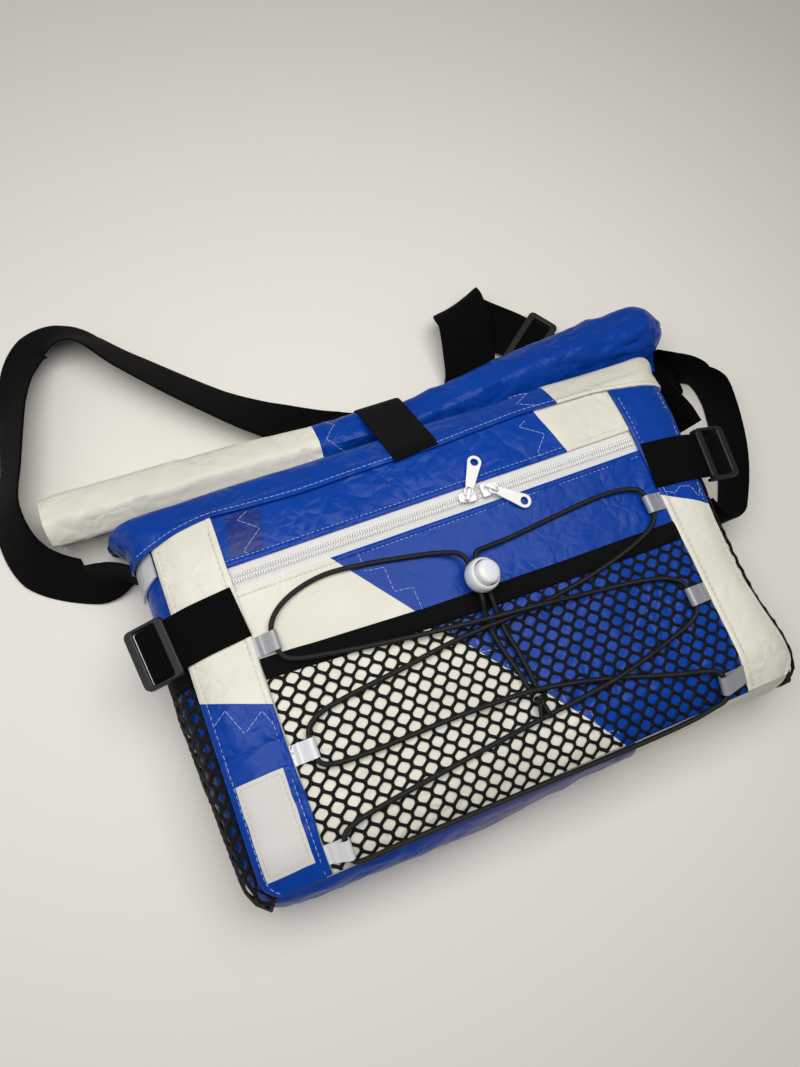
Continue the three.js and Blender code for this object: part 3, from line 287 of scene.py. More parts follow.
class Board:
    """Adds and wires the nodes of one tree."""

    def __init__(self, tree: bpy.types.NodeTree) -> None:
        """Takes the tree to work on."""
        self.tree = tree

    def add(self, kind: str, **inputs: object) -> bpy.types.Node:
        """Adds a node.

        Args:
            kind: Node type without its ShaderNode prefix.
            inputs: Value, or output to wire in, for each input. Underscores stand for spaces.

        Returns:
            The new node.
        """
        node = self.tree.nodes.new("ShaderNode" + kind)
        for name, value in inputs.items():
            self.feed(node.inputs[name.replace("_", " ")], value)
        return node

    def feed(self, socket: bpy.types.NodeSocket, value: object) -> None:
        """Wires an output into a socket, or sets the socket's value."""
        if isinstance(value, bpy.types.NodeSocket):
            self.tree.links.new(value, socket)
        else:
            socket.default_value = value

    def math(self, operation: str, *values: object) -> bpy.types.NodeSocket:
        """Adds a math node and returns its output."""
        node = self.tree.nodes.new("ShaderNodeMath")
        node.operation = operation
        for socket, value in zip(node.inputs, values):
            self.feed(socket, value)
        return node.outputs[0]

    def remap(
        self, value: object, low: float, high: float, to_low: float = 0.0, to_high: float = 1.0
    ) -> bpy.types.NodeSocket:
        """Adds a smooth remapping of one range onto another and returns its output."""
        node = self.add("MapRange", Value=value, From_Min=low, From_Max=high, To_Min=to_low, To_Max=to_high)
        node.interpolation_type = "SMOOTHSTEP"
        return node.outputs["Result"]

    def mix(self, share: object, first: object, second: object) -> bpy.types.NodeSocket:
        """Adds a colour mix and returns its output."""
        node = self.tree.nodes.new("ShaderNodeMix")
        node.data_type = "RGBA"
        self.feed(node.inputs["Factor"], share)
        self.feed(node.inputs[6], first)
        self.feed(node.inputs[7], second)
        return node.outputs[2]


class EffectGroup:
    """Shader node group that several finishes share."""

    BUMP_HEIGHT = 0.6 * MM

    def __init__(self, name: str, inputs: dict[str, float], outputs: dict[str, str]) -> None:
        """Makes the group and its sockets.

        Args:
            name: Name of the group.
            inputs: Default value of each input.
            outputs: Kind of each output, Float or Vector.
        """
        self.tree = bpy.data.node_groups.new(name, "ShaderNodeTree")
        for word, value in inputs.items():
            kind = "NodeSocketFloat"
            socket = self.tree.interface.new_socket(name=word, in_out="INPUT", socket_type=kind)
            socket.default_value = value
        for word, kind in outputs.items():
            self.tree.interface.new_socket(name=word, in_out="OUTPUT", socket_type="NodeSocket" + kind)
        self.board = Board(self.tree)
        self.given = self.tree.nodes.new("NodeGroupInput").outputs
        self._out = self.tree.nodes.new("NodeGroupOutput").inputs

    def give(self, **values: bpy.types.NodeSocket) -> None:
        """Wires the group's outputs."""
        for word, value in values.items():
            self.board.feed(self._out[word], value)

    def bump(self, height: object, depth: object) -> bpy.types.NodeSocket:
        """Adds a bump, as high as BUMP_HEIGHT where the height is 1, and returns its normal."""
        node = self.board.add("Bump", Height=height, Strength=depth, Distance=self.BUMP_HEIGHT)
        return node.outputs["Normal"]


class Effects:
    """The shared effects: crinkled film, ribbed weave, herringbone, grain and tone."""

    def __init__(self) -> None:
        """Builds every group once."""
        self.groups = {
            "crinkle": self._crinkle(),
            "ribs": self._ribs(),
            "herringbone": self._herringbone(),
            "grain": self._grain(),
            "tone": self._tone(),
        }

    def use(self, board: Board, name: str, **inputs: float) -> bpy.types.Node:
        """Adds a group to a material.

        Args:
            board: The material's nodes.
            name: Name of the effect.
            inputs: Values of the group's inputs.

        Returns:
            The group's node.
        """
        node = board.add("Group")
        node.node_tree = self.groups[name]
        for word, value in inputs.items():
            board.feed(node.inputs[word], value)
        return node

    @staticmethod
    def _crinkle() -> bpy.types.NodeTree:
        """Fine dents and sharp creases of stiff film."""
        outputs = {"Normal": "Vector", "Crease": "Float"}
        group = EffectGroup("crinkle", {"Scale": 1.0, "Depth": 0.5}, outputs)
        board = group.board
        place = board.add("TexCoord").outputs["Object"]
        sized = board.add("VectorMath", Vector=place)
        sized.operation = "SCALE"
        board.feed(sized.inputs["Scale"], group.given["Scale"])
        warp = board.add("TexNoise", Vector=sized.outputs[0], Scale=28.0, Detail=2.0)
        shift = board.add("VectorMath")
        shift.operation = "MULTIPLY_ADD"
        board.feed(shift.inputs[0], warp.outputs["Color"])
        shift.inputs[1].default_value = (0.03, 0.03, 0.03)
        board.feed(shift.inputs[2], sized.outputs[0])
        gaps = []
        for scale in (34.0, 95.0):
            cells = board.add("TexVoronoi", Vector=shift.outputs[0], Scale=scale)
            cells.feature = "DISTANCE_TO_EDGE"
            gaps.append(cells.outputs["Distance"])
        dents = board.add("TexNoise", Vector=sized.outputs[0], Scale=260.0, Detail=3.0, Roughness=0.5)
        where = board.add("TexNoise", Vector=sized.outputs[0], Scale=17.0, Detail=2.0)
        strong = board.remap(where.outputs["Fac"], 0.4, 0.68)
        facets = board.math("MULTIPLY_ADD", gaps[1], 2.6, board.math("MULTIPLY", gaps[0], 4.5))
        kept = board.math("MULTIPLY", facets, board.math("MULTIPLY_ADD", strong, 0.75, 0.25))
        height = board.math("MULTIPLY_ADD", dents.outputs["Fac"], 0.35, kept)
        line = board.remap(gaps[0], 0.0, 0.035, 1.0, 0.0)
        crease = board.math("MULTIPLY", line, strong)
        group.give(Normal=group.bump(height, group.given["Depth"]), Crease=crease)
        return group.tree

    @staticmethod
    def _ribs() -> bpy.types.NodeTree:
        """Rows of raised yarns, measured across and along a strap in millimetres."""
        inputs = {"Row": 2.1, "Dot": 0.7, "Slant": 0.0, "Depth": 0.8}
        group = EffectGroup("ribs", inputs, {"Normal": "Vector", "Height": "Float"})
        board = group.board
        place = board.add("SeparateXYZ", Vector=board.add("UVMap").outputs["UV"])
        across, along = place.outputs["X"], place.outputs["Y"]
        slid = board.math("MULTIPLY_ADD", across, group.given["Slant"], along)
        row = board.math("DIVIDE", slid, group.given["Row"])
        odd = board.math("MULTIPLY", board.math("FLOOR", row), 0.5)
        dot = board.math("ADD", board.math("DIVIDE", across, group.given["Dot"]), odd)
        rib = board.math("ABSOLUTE", board.math("SINE", board.math("MULTIPLY", row, math.pi)))
        yarn = board.math("ABSOLUTE", board.math("SINE", board.math("MULTIPLY", dot, math.pi)))
        height = board.math("MULTIPLY", rib, board.math("MULTIPLY_ADD", yarn, 0.6, 0.4))
        group.give(Normal=group.bump(height, group.given["Depth"]), Height=height)
        return group.tree

    @staticmethod
    def _herringbone() -> bpy.types.NodeTree:
        """Slanted yarns that turn back in stripes along a tape."""
        inputs = {"Stripe": 6.0, "Yarn": 1.3, "Depth": 0.7}
        group = EffectGroup("herringbone", inputs, {"Normal": "Vector", "Height": "Float"})
        board = group.board
        place = board.add("SeparateXYZ", Vector=board.add("UVMap").outputs["UV"])
        fold = board.math("PINGPONG", place.outputs["X"], group.given["Stripe"])
        slid = board.math("ADD", place.outputs["Y"], fold)
        turns = board.math("DIVIDE", slid, group.given["Yarn"])
        wave = board.math("SINE", board.math("MULTIPLY", turns, math.tau))
        height = board.remap(wave, -1.0, 1.0)
        group.give(Normal=group.bump(height, group.given["Depth"]), Height=height)
        return group.tree

    @staticmethod
    def _grain() -> bpy.types.NodeTree:
        """Fine even grain of moulded plastic, paint or knit."""
        group = EffectGroup("grain", {"Scale": 900.0, "Depth": 0.2}, {"Normal": "Vector", "Fleck": "Float"})
        board = group.board
        place = board.add("TexCoord").outputs["Object"]
        noise = board.add("TexNoise", Vector=place, Scale=group.given["Scale"], Detail=3.0)
        fleck = board.remap(noise.outputs["Fac"], 0.6, 0.72)
        group.give(Normal=group.bump(noise.outputs["Fac"], group.given["Depth"]), Fleck=fleck)
        return group.tree

    @staticmethod
    def _tone() -> bpy.types.NodeTree:
        """Slow patchy change of a colour, from 0 to 1."""
        group = EffectGroup("tone", {"Scale": 12.0}, {"Value": "Float"})
        board = group.board
        place = board.add("TexCoord").outputs["Object"]
        noise = board.add("TexNoise", Vector=place, Scale=group.given["Scale"], Detail=4.0)
        group.give(Value=board.remap(noise.outputs["Fac"], 0.3, 0.7))
        return group.tree


@dataclass(frozen=True)
class Finish:
    """A finish of one plain colour."""

    name: str
    colour: tuple[float, float, float]
    roughness: float = 0.5
    metallic: float = 0.0
    specular: float = 0.5
    coat: float = 0.0

    def make(self, effects: Effects) -> bpy.types.Material:
        """Makes the material.

        Args:
            effects: The shared effects.

        Returns:
            Material with its shader wired up.
        """
        material = bpy.data.materials.new(self.name)
        material.use_nodes = True
        material.diffuse_color = (*self.colour, 1.0)
        board = Board(material.node_tree)
        shader = material.node_tree.nodes["Principled BSDF"]
        settings = {
            "Base Color": (*self.colour, 1.0),
            "Roughness": self.roughness,
            "Metallic": self.metallic,
            "Specular IOR Level": self.specular,
            "Coat Weight": self.coat,
        }
        for word, value in settings.items():
            shader.inputs[word].default_value = value
        self.dress(board, shader, effects)
        return material

    def dress(self, board: Board, shader: bpy.types.Node, effects: Effects) -> None:
        """Adds what the finish shows besides its colour: nothing here."""

    def shade(self, factor: float) -> tuple[float, float, float, float]:
        """The finish's colour, lighter or darker."""
        return tuple(min(1.0, part * factor) for part in self.colour) + (1.0,)


@dataclass(frozen=True)
class Sailcloth(Finish):
    """Crinkled sail film with slightly lighter creases."""

    crease_colour: tuple[float, float, float] = (1.0, 1.0, 1.0)
    crease_share: float = 0.2
    scale: float = 1.0
    depth: float = 0.5

    def dress(self, board: Board, shader: bpy.types.Node, effects: Effects) -> None:
        """Wires the crinkles, the creases' colour and a slow change of tone."""
        crinkle = effects.use(board, "crinkle", Scale=self.scale, Depth=self.depth)
        tone = effects.use(board, "tone", Scale=14.0)
        base = board.mix(tone.outputs["Value"], self.shade(0.93), self.shade(1.05))
        share = board.math("MULTIPLY", crinkle.outputs["Crease"], self.crease_share)
        board.feed(shader.inputs["Base Color"], board.mix(share, base, (*self.crease_colour, 1.0)))
        board.feed(shader.inputs["Normal"], crinkle.outputs["Normal"])


@dataclass(frozen=True)
class FadingSailcloth(Sailcloth):
    """Sail film whose colour turns into a darker, greyer one along the bag: the darkening is painted shade.
    """

    # Darker, greyer colour that the film turns into: painted shade
    other: tuple[float, float, float] = (0.1, 0.1, 0.3)
    start: float = -110.0
    end: float = 0.0

    def dress(self, board: Board, shader: bpy.types.Node, effects: Effects) -> None:
        """Wires the crinkles and the turn of the colour into the painted shade."""
        super().dress(board, shader, effects)
        place = board.add("SeparateXYZ", Vector=board.add("TexCoord").outputs["Object"])
        share = board.remap(place.outputs["X"], self.start * MM, self.end * MM)
        plain = shader.inputs["Base Color"].links[0].from_socket
        board.feed(shader.inputs["Base Color"], board.mix(share, plain, (*self.other, 1.0)))


@dataclass(frozen=True)
class Woven(Finish):
    """Ribbed strap or plain weave, with painted shade between its yarns."""

    row: float = 2.1
    dot: float = 0.7
    slant: float = 0.0
    depth: float = 0.8
    # Share of the colour left in the painted shade between the yarns
    between: float = 0.35

    def dress(self, board: Board, shader: bpy.types.Node, effects: Effects) -> None:
        """Wires the yarns' height and the painted shade between them."""
        ribs = effects.use(board, "ribs", Row=self.row, Dot=self.dot, Slant=self.slant, Depth=self.depth)
        # Painted shade: darker where the yarns lie low
        shade = board.mix(ribs.outputs["Height"], self.shade(self.between), self.shade(1.0))
        board.feed(shader.inputs["Base Color"], shade)
        board.feed(shader.inputs["Normal"], ribs.outputs["Normal"])


@dataclass(frozen=True)
class Herringbone(Finish):
    """Tape with a herringbone weave, with painted shade between its yarns and a painted highlight on them."""

    stripe: float = 6.0
    yarn: float = 1.3
    depth: float = 0.7

    def dress(self, board: Board, shader: bpy.types.Node, effects: Effects) -> None:
        """Wires the yarns' height, and the painted shade and highlight that follow it."""
        weave = effects.use(board, "herringbone", Stripe=self.stripe, Yarn=self.yarn, Depth=self.depth)
        # Painted shade where the yarns lie low, painted highlight where they stand high
        shade = board.mix(weave.outputs["Height"], self.shade(0.4), self.shade(1.2))
        board.feed(shader.inputs["Base Color"], shade)
        board.feed(shader.inputs["Normal"], weave.outputs["Normal"])


@dataclass(frozen=True)
class Grained(Finish):
    """Moulded, painted or knitted surface with a fine grain and pale flecks."""

    scale: float = 900.0
    depth: float = 0.2
    fleck: float = 0.0

    def dress(self, board: Board, shader: bpy.types.Node, effects: Effects) -> None:
        """Wires the grain and its flecks."""
        grain = effects.use(board, "grain", Scale=self.scale, Depth=self.depth)
        share = board.math("MULTIPLY", grain.outputs["Fleck"], self.fleck)
        shade = board.mix(share, self.shade(1.0), (0.5, 0.5, 0.52, 1.0))
        board.feed(shader.inputs["Base Color"], shade)
        board.feed(shader.inputs["Normal"], grain.outputs["Normal"])


BLUE = Sailcloth(
    "sailcloth_blue", (0.003, 0.047, 0.33), roughness=0.3, specular=0.14,
    crease_colour=(0.03, 0.12, 0.5), crease_share=0.13, depth=1.1,
)
# Base of the bag: the blue turns darker and greyer from X -110 mm to X 0, painted shade of the base
LILAC = FadingSailcloth(
    "sailcloth_lilac", BLUE.colour, roughness=0.38, specular=0.25,
    crease_colour=(0.05, 0.12, 0.5), crease_share=0.2, depth=1.5, other=(0.085, 0.09, 0.29),
)
NAVY = Sailcloth(
    "sailcloth_double", (0.003, 0.02, 0.19), roughness=0.4, specular=0.32,
    crease_colour=(0.02, 0.06, 0.3), depth=1.4,
)
CREAM = Sailcloth(
    "sailcloth_white", (0.75, 0.735, 0.645), roughness=0.42, specular=0.3,
    crease_colour=(0.82, 0.81, 0.73), crease_share=0.2, depth=0.9,
)
PALE_CLOTH = Sailcloth(
    "sailcloth_pale", (0.58, 0.6, 0.64), roughness=0.42, specular=0.3,
    crease_colour=(0.7, 0.72, 0.75), depth=0.4,
)
WEB = Woven("webbing", (0.004, 0.004, 0.0045), roughness=0.75, specular=0.07)
FINE_WEB = Woven(
    "webbing_fine", (0.003, 0.003, 0.0034), roughness=0.72, specular=0.06,
    row=1.25, dot=1.7, slant=0.25, depth=0.6, between=0.5,
)
RIBBED_WEB = Woven(
    "webbing_ribbed", (0.005, 0.005, 0.0055), roughness=0.7, specular=0.1,
    row=0.8, dot=2.1, depth=0.7, between=0.45,
)
KNIT = Grained(
    "net_knit", (0.006, 0.006, 0.0065), roughness=0.62, specular=0.13, scale=1400.0, depth=0.9, fleck=0.1,
)
BINDING = Herringbone("net_binding", (0.006, 0.006, 0.0065), roughness=0.75, specular=0.07)
BUNGEE = Woven(
    "bungee", (0.007, 0.007, 0.007), roughness=0.5, specular=0.35, row=0.9, dot=0.8, slant=0.6, depth=0.35,
    between=0.6,
)
TAPE = Woven(
    "zip_tape", (0.8, 0.8, 0.79), roughness=0.75, specular=0.3, row=0.9, dot=0.8, depth=0.35, between=0.88,
)
TEETH = Finish("zip_teeth", (0.86, 0.86, 0.85), roughness=0.4, specular=0.5)
PAINT = Grained("zip_metal", (0.87, 0.88, 0.88), roughness=0.3, specular=0.5, coat=0.2, depth=0.05)
LOCK = Grained("lock_plastic", (0.78, 0.8, 0.83), roughness=0.34, specular=0.5, coat=0.15, depth=0.05)
BUCKLE = Grained("buckle_plastic", (0.011, 0.011, 0.012), roughness=0.42, specular=0.4, depth=0.25)
SILVER = Grained("tape_silver", (0.36, 0.37, 0.4), roughness=0.42, metallic=0.25, scale=2200.0, depth=0.2)
BRIGHT = Grained("tape_bright", (0.78, 0.79, 0.83), roughness=0.4, metallic=0.1, scale=2200.0, depth=0.2)
LABEL = Woven(
    "label_cloth", (0.72, 0.7, 0.68), roughness=0.8, specular=0.3, row=0.5, dot=0.45, depth=0.25,
    between=0.9,
)
PALE_THREAD = Finish("thread_pale", (0.5, 0.56, 0.72), roughness=0.6)
BEIGE_THREAD = Finish("thread_beige", (0.56, 0.5, 0.39), roughness=0.65)
FLOOR = Finish("floor", (0.86, 0.838, 0.785), roughness=0.55, specular=0.3)


class Workshop:
    """Turns drafts into dressed pieces that ride on the part's bodies."""

    def __init__(self) -> None:
        """Makes the shared effects. Materials follow as they are asked for."""
        self._effects = Effects()
        self._materials: dict[str, bpy.types.Material] = {}

    def material(self, finish: Finish) -> bpy.types.Material:
        """The finish's material, made once."""
        if finish.name not in self._materials:
            self._materials[finish.name] = finish.make(self._effects)
        return self._materials[finish.name]

    def publish(
        self,
        name: str,
        draft: MeshDraft,
        finish: Finish,
        slot: str,
        nodes: Sequence[str] = (),
        body: Body = Body.BAG,
        crease: float = 40.0,
    ) -> bpy.types.Object:
        """Makes a piece of the object.

        Args:
            name: Name of the piece.
            draft: Its mesh.
            finish: Finish that it wears.
            slot: The record's material slot. Not used.
            nodes: CAD nodes that the piece stands for.
            body: Body that it rides on.
            crease: Angle above which edges stay sharp.

        Returns:
            The piece.
        """
        piece = draft.build(name, self.material(finish), crease)
        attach(piece, body.value)
        if nodes:
            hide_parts(*nodes)
        log.info("%s: %d faces", name, len(piece.data.polygons))
        return piece

    def wall(
        self,
        name: str,
        grids: tuple[Array, Array],
        uv: Array | None,
        finish: Finish,
        slot: str,
        nodes: Sequence[str] = (),
    ) -> None:
        """Makes a piece of a closed wall between an outer and an inner grid.

        Args:
            name: Name of the piece.
            grids: Points of the outer and of the inner face.
            uv: Texture place of each grid point, or None to take X and Y.
            finish: Finish that it wears.
            slot: The record's material slot. Not used.
            nodes: CAD nodes that the piece stands for.
        """
        draft = MeshDraft()
        draft.shell(*grids, uv)
        self.publish(name, draft, finish, slot, nodes)


# Distance in from an edge of the front, and how far the front has fallen there
SIDE_FALL = ((-4, 9), (0, 6), (4, 3.4), (9, 1.2), (15, 0))
BASE_FALL = ((-4, 10.4), (0, 8), (10, 3), (21, 0))
MOUTH_FALL = ((-4, 3.8), (0, 3), (12, 1), (27, 0))
# Height along the bag, and how far the right edge is drawn in there
RIGHT_WAIST = ((-93, 0), (-84, 2), (-40, 8), (0, 7), (40, 3), (96.6, 0))
# Places where fittings sit and the cloth lies still: X and Y
STILL_PLACES = (
    (-1, 13), (15, 61.5), (29.5, 61.5), (28, 78), (46, 48), (-124, 20), (-124, -41), (-124, -95), (124, 19),
    (124, -41.5), (121, -95), (-150, 41), (150, 41), (-4, 98),
)


def read(table: Sequence[Sequence[float]], at: Array) -> Array:
    """Straight-line reading of a table of two columns."""
    keys, values = np.asarray(table, float).T
    return np.interp(at, keys, values)


def soft_read(table: Sequence[Sequence[float]], at: Array, reach: float) -> Array:
    """Reading of a table of two columns with its corners rounded off."""
    return sum(read(table, at + shift * reach) for shift in (-1.0, -0.5, 0.0, 0.5, 1.0)) / 5


@dataclass(frozen=True)
class Front:
    """Front of the bag: its plan and how high its cloth lies."""

    half_width: float = 167.5
    depth: float = 70.0
    base_y: float = -105.0
    mouth_y: float = 96.6
    corner: float = 12.0
    strip_edge: float = 130.5
    panel_edge: float = 134.0
    zip_low: float = 54.0
    zip_high: float = 68.2
    still_reach: float = 17.0
    ripple: Ripple = field(default_factory=lambda: Ripple(11))

    def drawn(self, x: Array, y: Array) -> Array:
        """How far the edge on that side is drawn in."""
        return np.where(np.asarray(x) > 0, soft_read(RIGHT_WAIST, np.asarray(y, float), 14.0), 0.0)

    def edge(self, y: Array, side: Side) -> Array:
        """Distance of the outer edge from the middle, with its round corners."""
        below = np.clip(self.base_y + self.corner - y, 0, self.corner)
        round_off = self.corner - np.sqrt(self.corner ** 2 - below ** 2)
        return self.half_width - self.drawn(np.full_like(y, side.value), y) - round_off

    def flat(self, x: Array, y: Array) -> Array:
        """Height of the front without folds."""
        x, y = np.asarray(x, float), np.asarray(y, float)
        inset = self.half_width - self.drawn(x, y) - np.abs(x)
        return (
            self.depth
            - soft_read(SIDE_FALL, inset, 2.5)
            - soft_read(BASE_FALL, y - self.base_y, 3.5)
            - soft_read(MOUTH_FALL, self.mouth_y - y, 5.0)
        )

    def drape(self, x: Array, y: Array) -> Array:
        """Slow dents of the cloth, none where fittings sit."""
        x, y = np.asarray(x, float), np.asarray(y, float)
        still = 1.0
        for spot_x, spot_y in STILL_PLACES:
            near = ((x - spot_x) ** 2 + (y - spot_y) ** 2) / self.still_reach ** 2
            still = still * (1 - np.exp(-near))
        slow = 0.8 * self.ripple.at(x / 64, y / 46) + 0.8 * self.ripple.crumple(x / 52 + 9, y / 38 + 4, 2)
        return slow * still

    def z(self, x: Array, y: Array) -> Array:
        """Height of the front with its dents."""
        return self.flat(x, y) + self.drape(x, y)

    def lay(self, x: Array, y: Array, height: Array | float = 0.0) -> Array:
        """Points over the front at a height."""
        x, y = np.broadcast_arrays(np.asarray(x, float), np.asarray(y, float))
        return np.stack([x, y, self.z(x, y) + height], axis=-1)


class Stitcher:
    """Sews rows of short stitches that end up in one mesh for each thread."""

    RADIUS = 0.16
    SIDES = 6
    # Share along the stitch, share of the radius, and rise in radii
    RINGS = ((0.0, 0.35, -0.6), (0.16, 0.9, 0.2), (0.5, 1.0, 0.45), (0.84, 0.9, 0.2), (1.0, 0.35, -0.6))

    def __init__(self) -> None:
        """Starts without any stitches."""
        self._drafts: dict[Finish, MeshDraft] = {}

    def run(
        self, line: Array, thread: Finish, pitch: float = 3.2, fill: float = 0.74, up: Sequence[float] = UP
    ) -> None:
        """Sews along a line.

        Args:
            line: Points that the seam follows, on the cloth.
            thread: Finish of the thread.
            pitch: Length from one stitch to the next.
            fill: Share of the pitch that the thread lies on top.
            up: The way out of the cloth.
        """
        run = distances(line)
        starts = np.arange(0, run[-1] - pitch * fill * 0.5, pitch)
        place = lambda at: np.stack([np.interp(at, run, column) for column in line.T], axis=-1)
        ends = np.minimum(starts + pitch * fill, run[-1])
        along = unit(place(ends) - place(starts))
        across = unit(np.cross(along, up))
        over = np.cross(across, along)
        angle = np.linspace(0, 2 * math.pi, self.SIDES, endpoint=False)
        cos, sin = np.cos(angle)[None, :, None], np.sin(angle)[None, :, None]
        spread = cos * across[:, None] + sin * over[:, None]
        rings = []
        for share, size, rise in self.RINGS:
            middle = place(starts + (ends - starts) * share) + over * rise * self.RADIUS
            rings.append(middle[:, None] + self.RADIUS * size * spread)
        points = np.stack(rings, axis=1)
        faces = MeshDraft.quads(len(self.RINGS), self.SIDES, wrap=True)
        shifts = np.arange(len(starts))[:, None, None] * len(self.RINGS) * self.SIDES
        draft = self._drafts.setdefault(thread, MeshDraft())
        draft.add(points, (faces[None] + shifts).reshape(-1, 4))

    def publish(self, shop: Workshop) -> None:
        """Makes one piece for each thread."""
        for thread, draft in self._drafts.items():
            slot = "sailcloth_blue" if thread is PALE_THREAD else "sailcloth_white"
            shop.publish("stitches_" + thread.name, draft, thread, slot)


@dataclass(frozen=True)
class Ribbon:
    """Flat webbing along a line."""

    width: float = 30.0
    thick: float = 1.4

    COLUMNS = np.array((-1.0, -0.985, -0.93, -0.5, 0.0, 0.5, 0.93, 0.985, 1.0))
    CROWN = np.array((0.2, 0.7, 1.0, 1.0, 1.0, 1.0, 1.0, 0.7, 0.2))

    def lay(self, draft: MeshDraft, line: Array, across: Array) -> None:
        """Adds the webbing.

        Args:
            draft: Mesh to add to.
            line: Points along its middle.
            across: The way across it at each point.
        """
        along = unit(np.gradient(line, axis=0))
        across = unit(across - along * np.sum(across * along, axis=1, keepdims=True))
        face = np.cross(across, along)
        spread = np.concatenate([self.COLUMNS, self.COLUMNS[::-1]]) * self.width / 2
        height = np.concatenate([self.CROWN, -self.CROWN[::-1]]) * self.thick / 2
        rings = line[:, None] + across[:, None] * spread[:, None] + face[:, None] * height[:, None]
        draft.loops(rings, pairs(spread[None], distances(line)[:, None]))


class Plate:
    """Flat form with rounded edges, cut from outlines."""

    @staticmethod
    def cut(outlines: Sequence[Array], thick: float, bevel: float) -> tuple[Array, list[list[int]]]:
        """Cuts a plate.

        Args:
            outlines: Outline of the plate, then of its holes, as points in its plane.
            thick: Thickness, half of it on each side of the plane.
            bevel: Radius of the edges.

        Returns:
            Points and faces of the plate.
        """
        curve = bpy.data.curves.new("plate", "CURVE")
        curve.dimensions = "2D"
        curve.fill_mode = "BOTH"
        curve.extrude = thick / 2 - bevel
        curve.bevel_depth = bevel
        curve.bevel_resolution = 2
        curve.offset = -bevel
        for outline in outlines:
            path = curve.splines.new("POLY")
            path.points.add(len(outline) - 1)
            path.points.foreach_set("co", np.pad(np.asarray(outline, float), ((0, 0), (0, 2))).ravel())
            path.use_cyclic_u = True
        holder = bpy.data.objects.new("plate", curve)
        mesh = bpy.data.meshes.new_from_object(holder)
        points = np.array([tuple(vertex.co) for vertex in mesh.vertices])
        faces = [list(polygon.vertices) for polygon in mesh.polygons]
        bpy.data.objects.remove(holder)
        bpy.data.curves.remove(curve)
        bpy.data.meshes.remove(mesh)
        return points, faces

    @staticmethod
    def round_box(half_x: float, half_y: float, radius: float, count: int = 6) -> Array:
        """Outline of a rectangle with round corners."""
        angle = np.linspace(0, math.pi / 2, count)
        corner = np.stack([np.cos(angle), np.sin(angle)], axis=1) * radius
        inner = np.array((half_x - radius, half_y - radius))
        parts = []
        for turn, (sign_x, sign_y) in enumerate(((1, 1), (-1, 1), (-1, -1), (1, -1))):
            cos, sin = round(math.cos(turn * math.pi / 2)), round(math.sin(turn * math.pi / 2))
            parts.append(corner @ np.array(((cos, sin), (-sin, cos))) + inner * (sign_x, sign_y))
        return np.concatenate(parts)

    @staticmethod
    def circle(
        x: float, y: float, radius: float, start: float = 0.0, end: float = 360.0, count: int = 28
    ) -> Array:
        """Points of an arc, or of a whole circle without its last point."""
        angle = np.radians(np.linspace(start, end, count, endpoint=end - start < 360.0))
        return np.stack([x + radius * np.cos(angle), y + radius * np.sin(angle)], axis=1)


def placed(points: Array, matrix: Matrix) -> Array:
    """Points moved by a matrix in millimetres."""
    full = np.array(matrix)
    return points @ full[:3, :3].T + full[:3, 3]


# Section of the gusset from the front seam to the back: how far it bulges and the share of height fallen
GUSSET_SECTION = (
    (0, 0), (6, 0.13), (10, 0.36), (11, 0.56), (8.5, 0.78), (3, 0.93), (-5, 0.993), (-10, 1),
)
# Place along the base and how full it is
BASE_FULLNESS = (
    (-155.5, 1), (-110, 1.2), (-40, 1.25), (30, 1.22), (60, 1.1), (90, 0.95), (120, 0.75), (155.5, 0.75),
)
# Height along a side and how full it is there
LEFT_FULLNESS = ((-93, 1), (-40, 1.15), (0, 1.35), (40, 1.35), (96.6, 1.25))
RIGHT_FULLNESS = ((-93, 1), (40, 1), (96.6, 0.7))


class Run(NamedTuple):
    """Stations along a gusset: place on the edge, way out, fullness and how far the seam is drawn in."""

    x: Array
    y: Array
    out_x: Array
    out_y: Array
    bulge: Array
    drawn: Array

    def length(self) -> Array:
        """Distance of each station from the first, along the edge."""
        return np.concatenate([[0], np.cumsum(np.hypot(np.diff(self.x), np.diff(self.y)))])


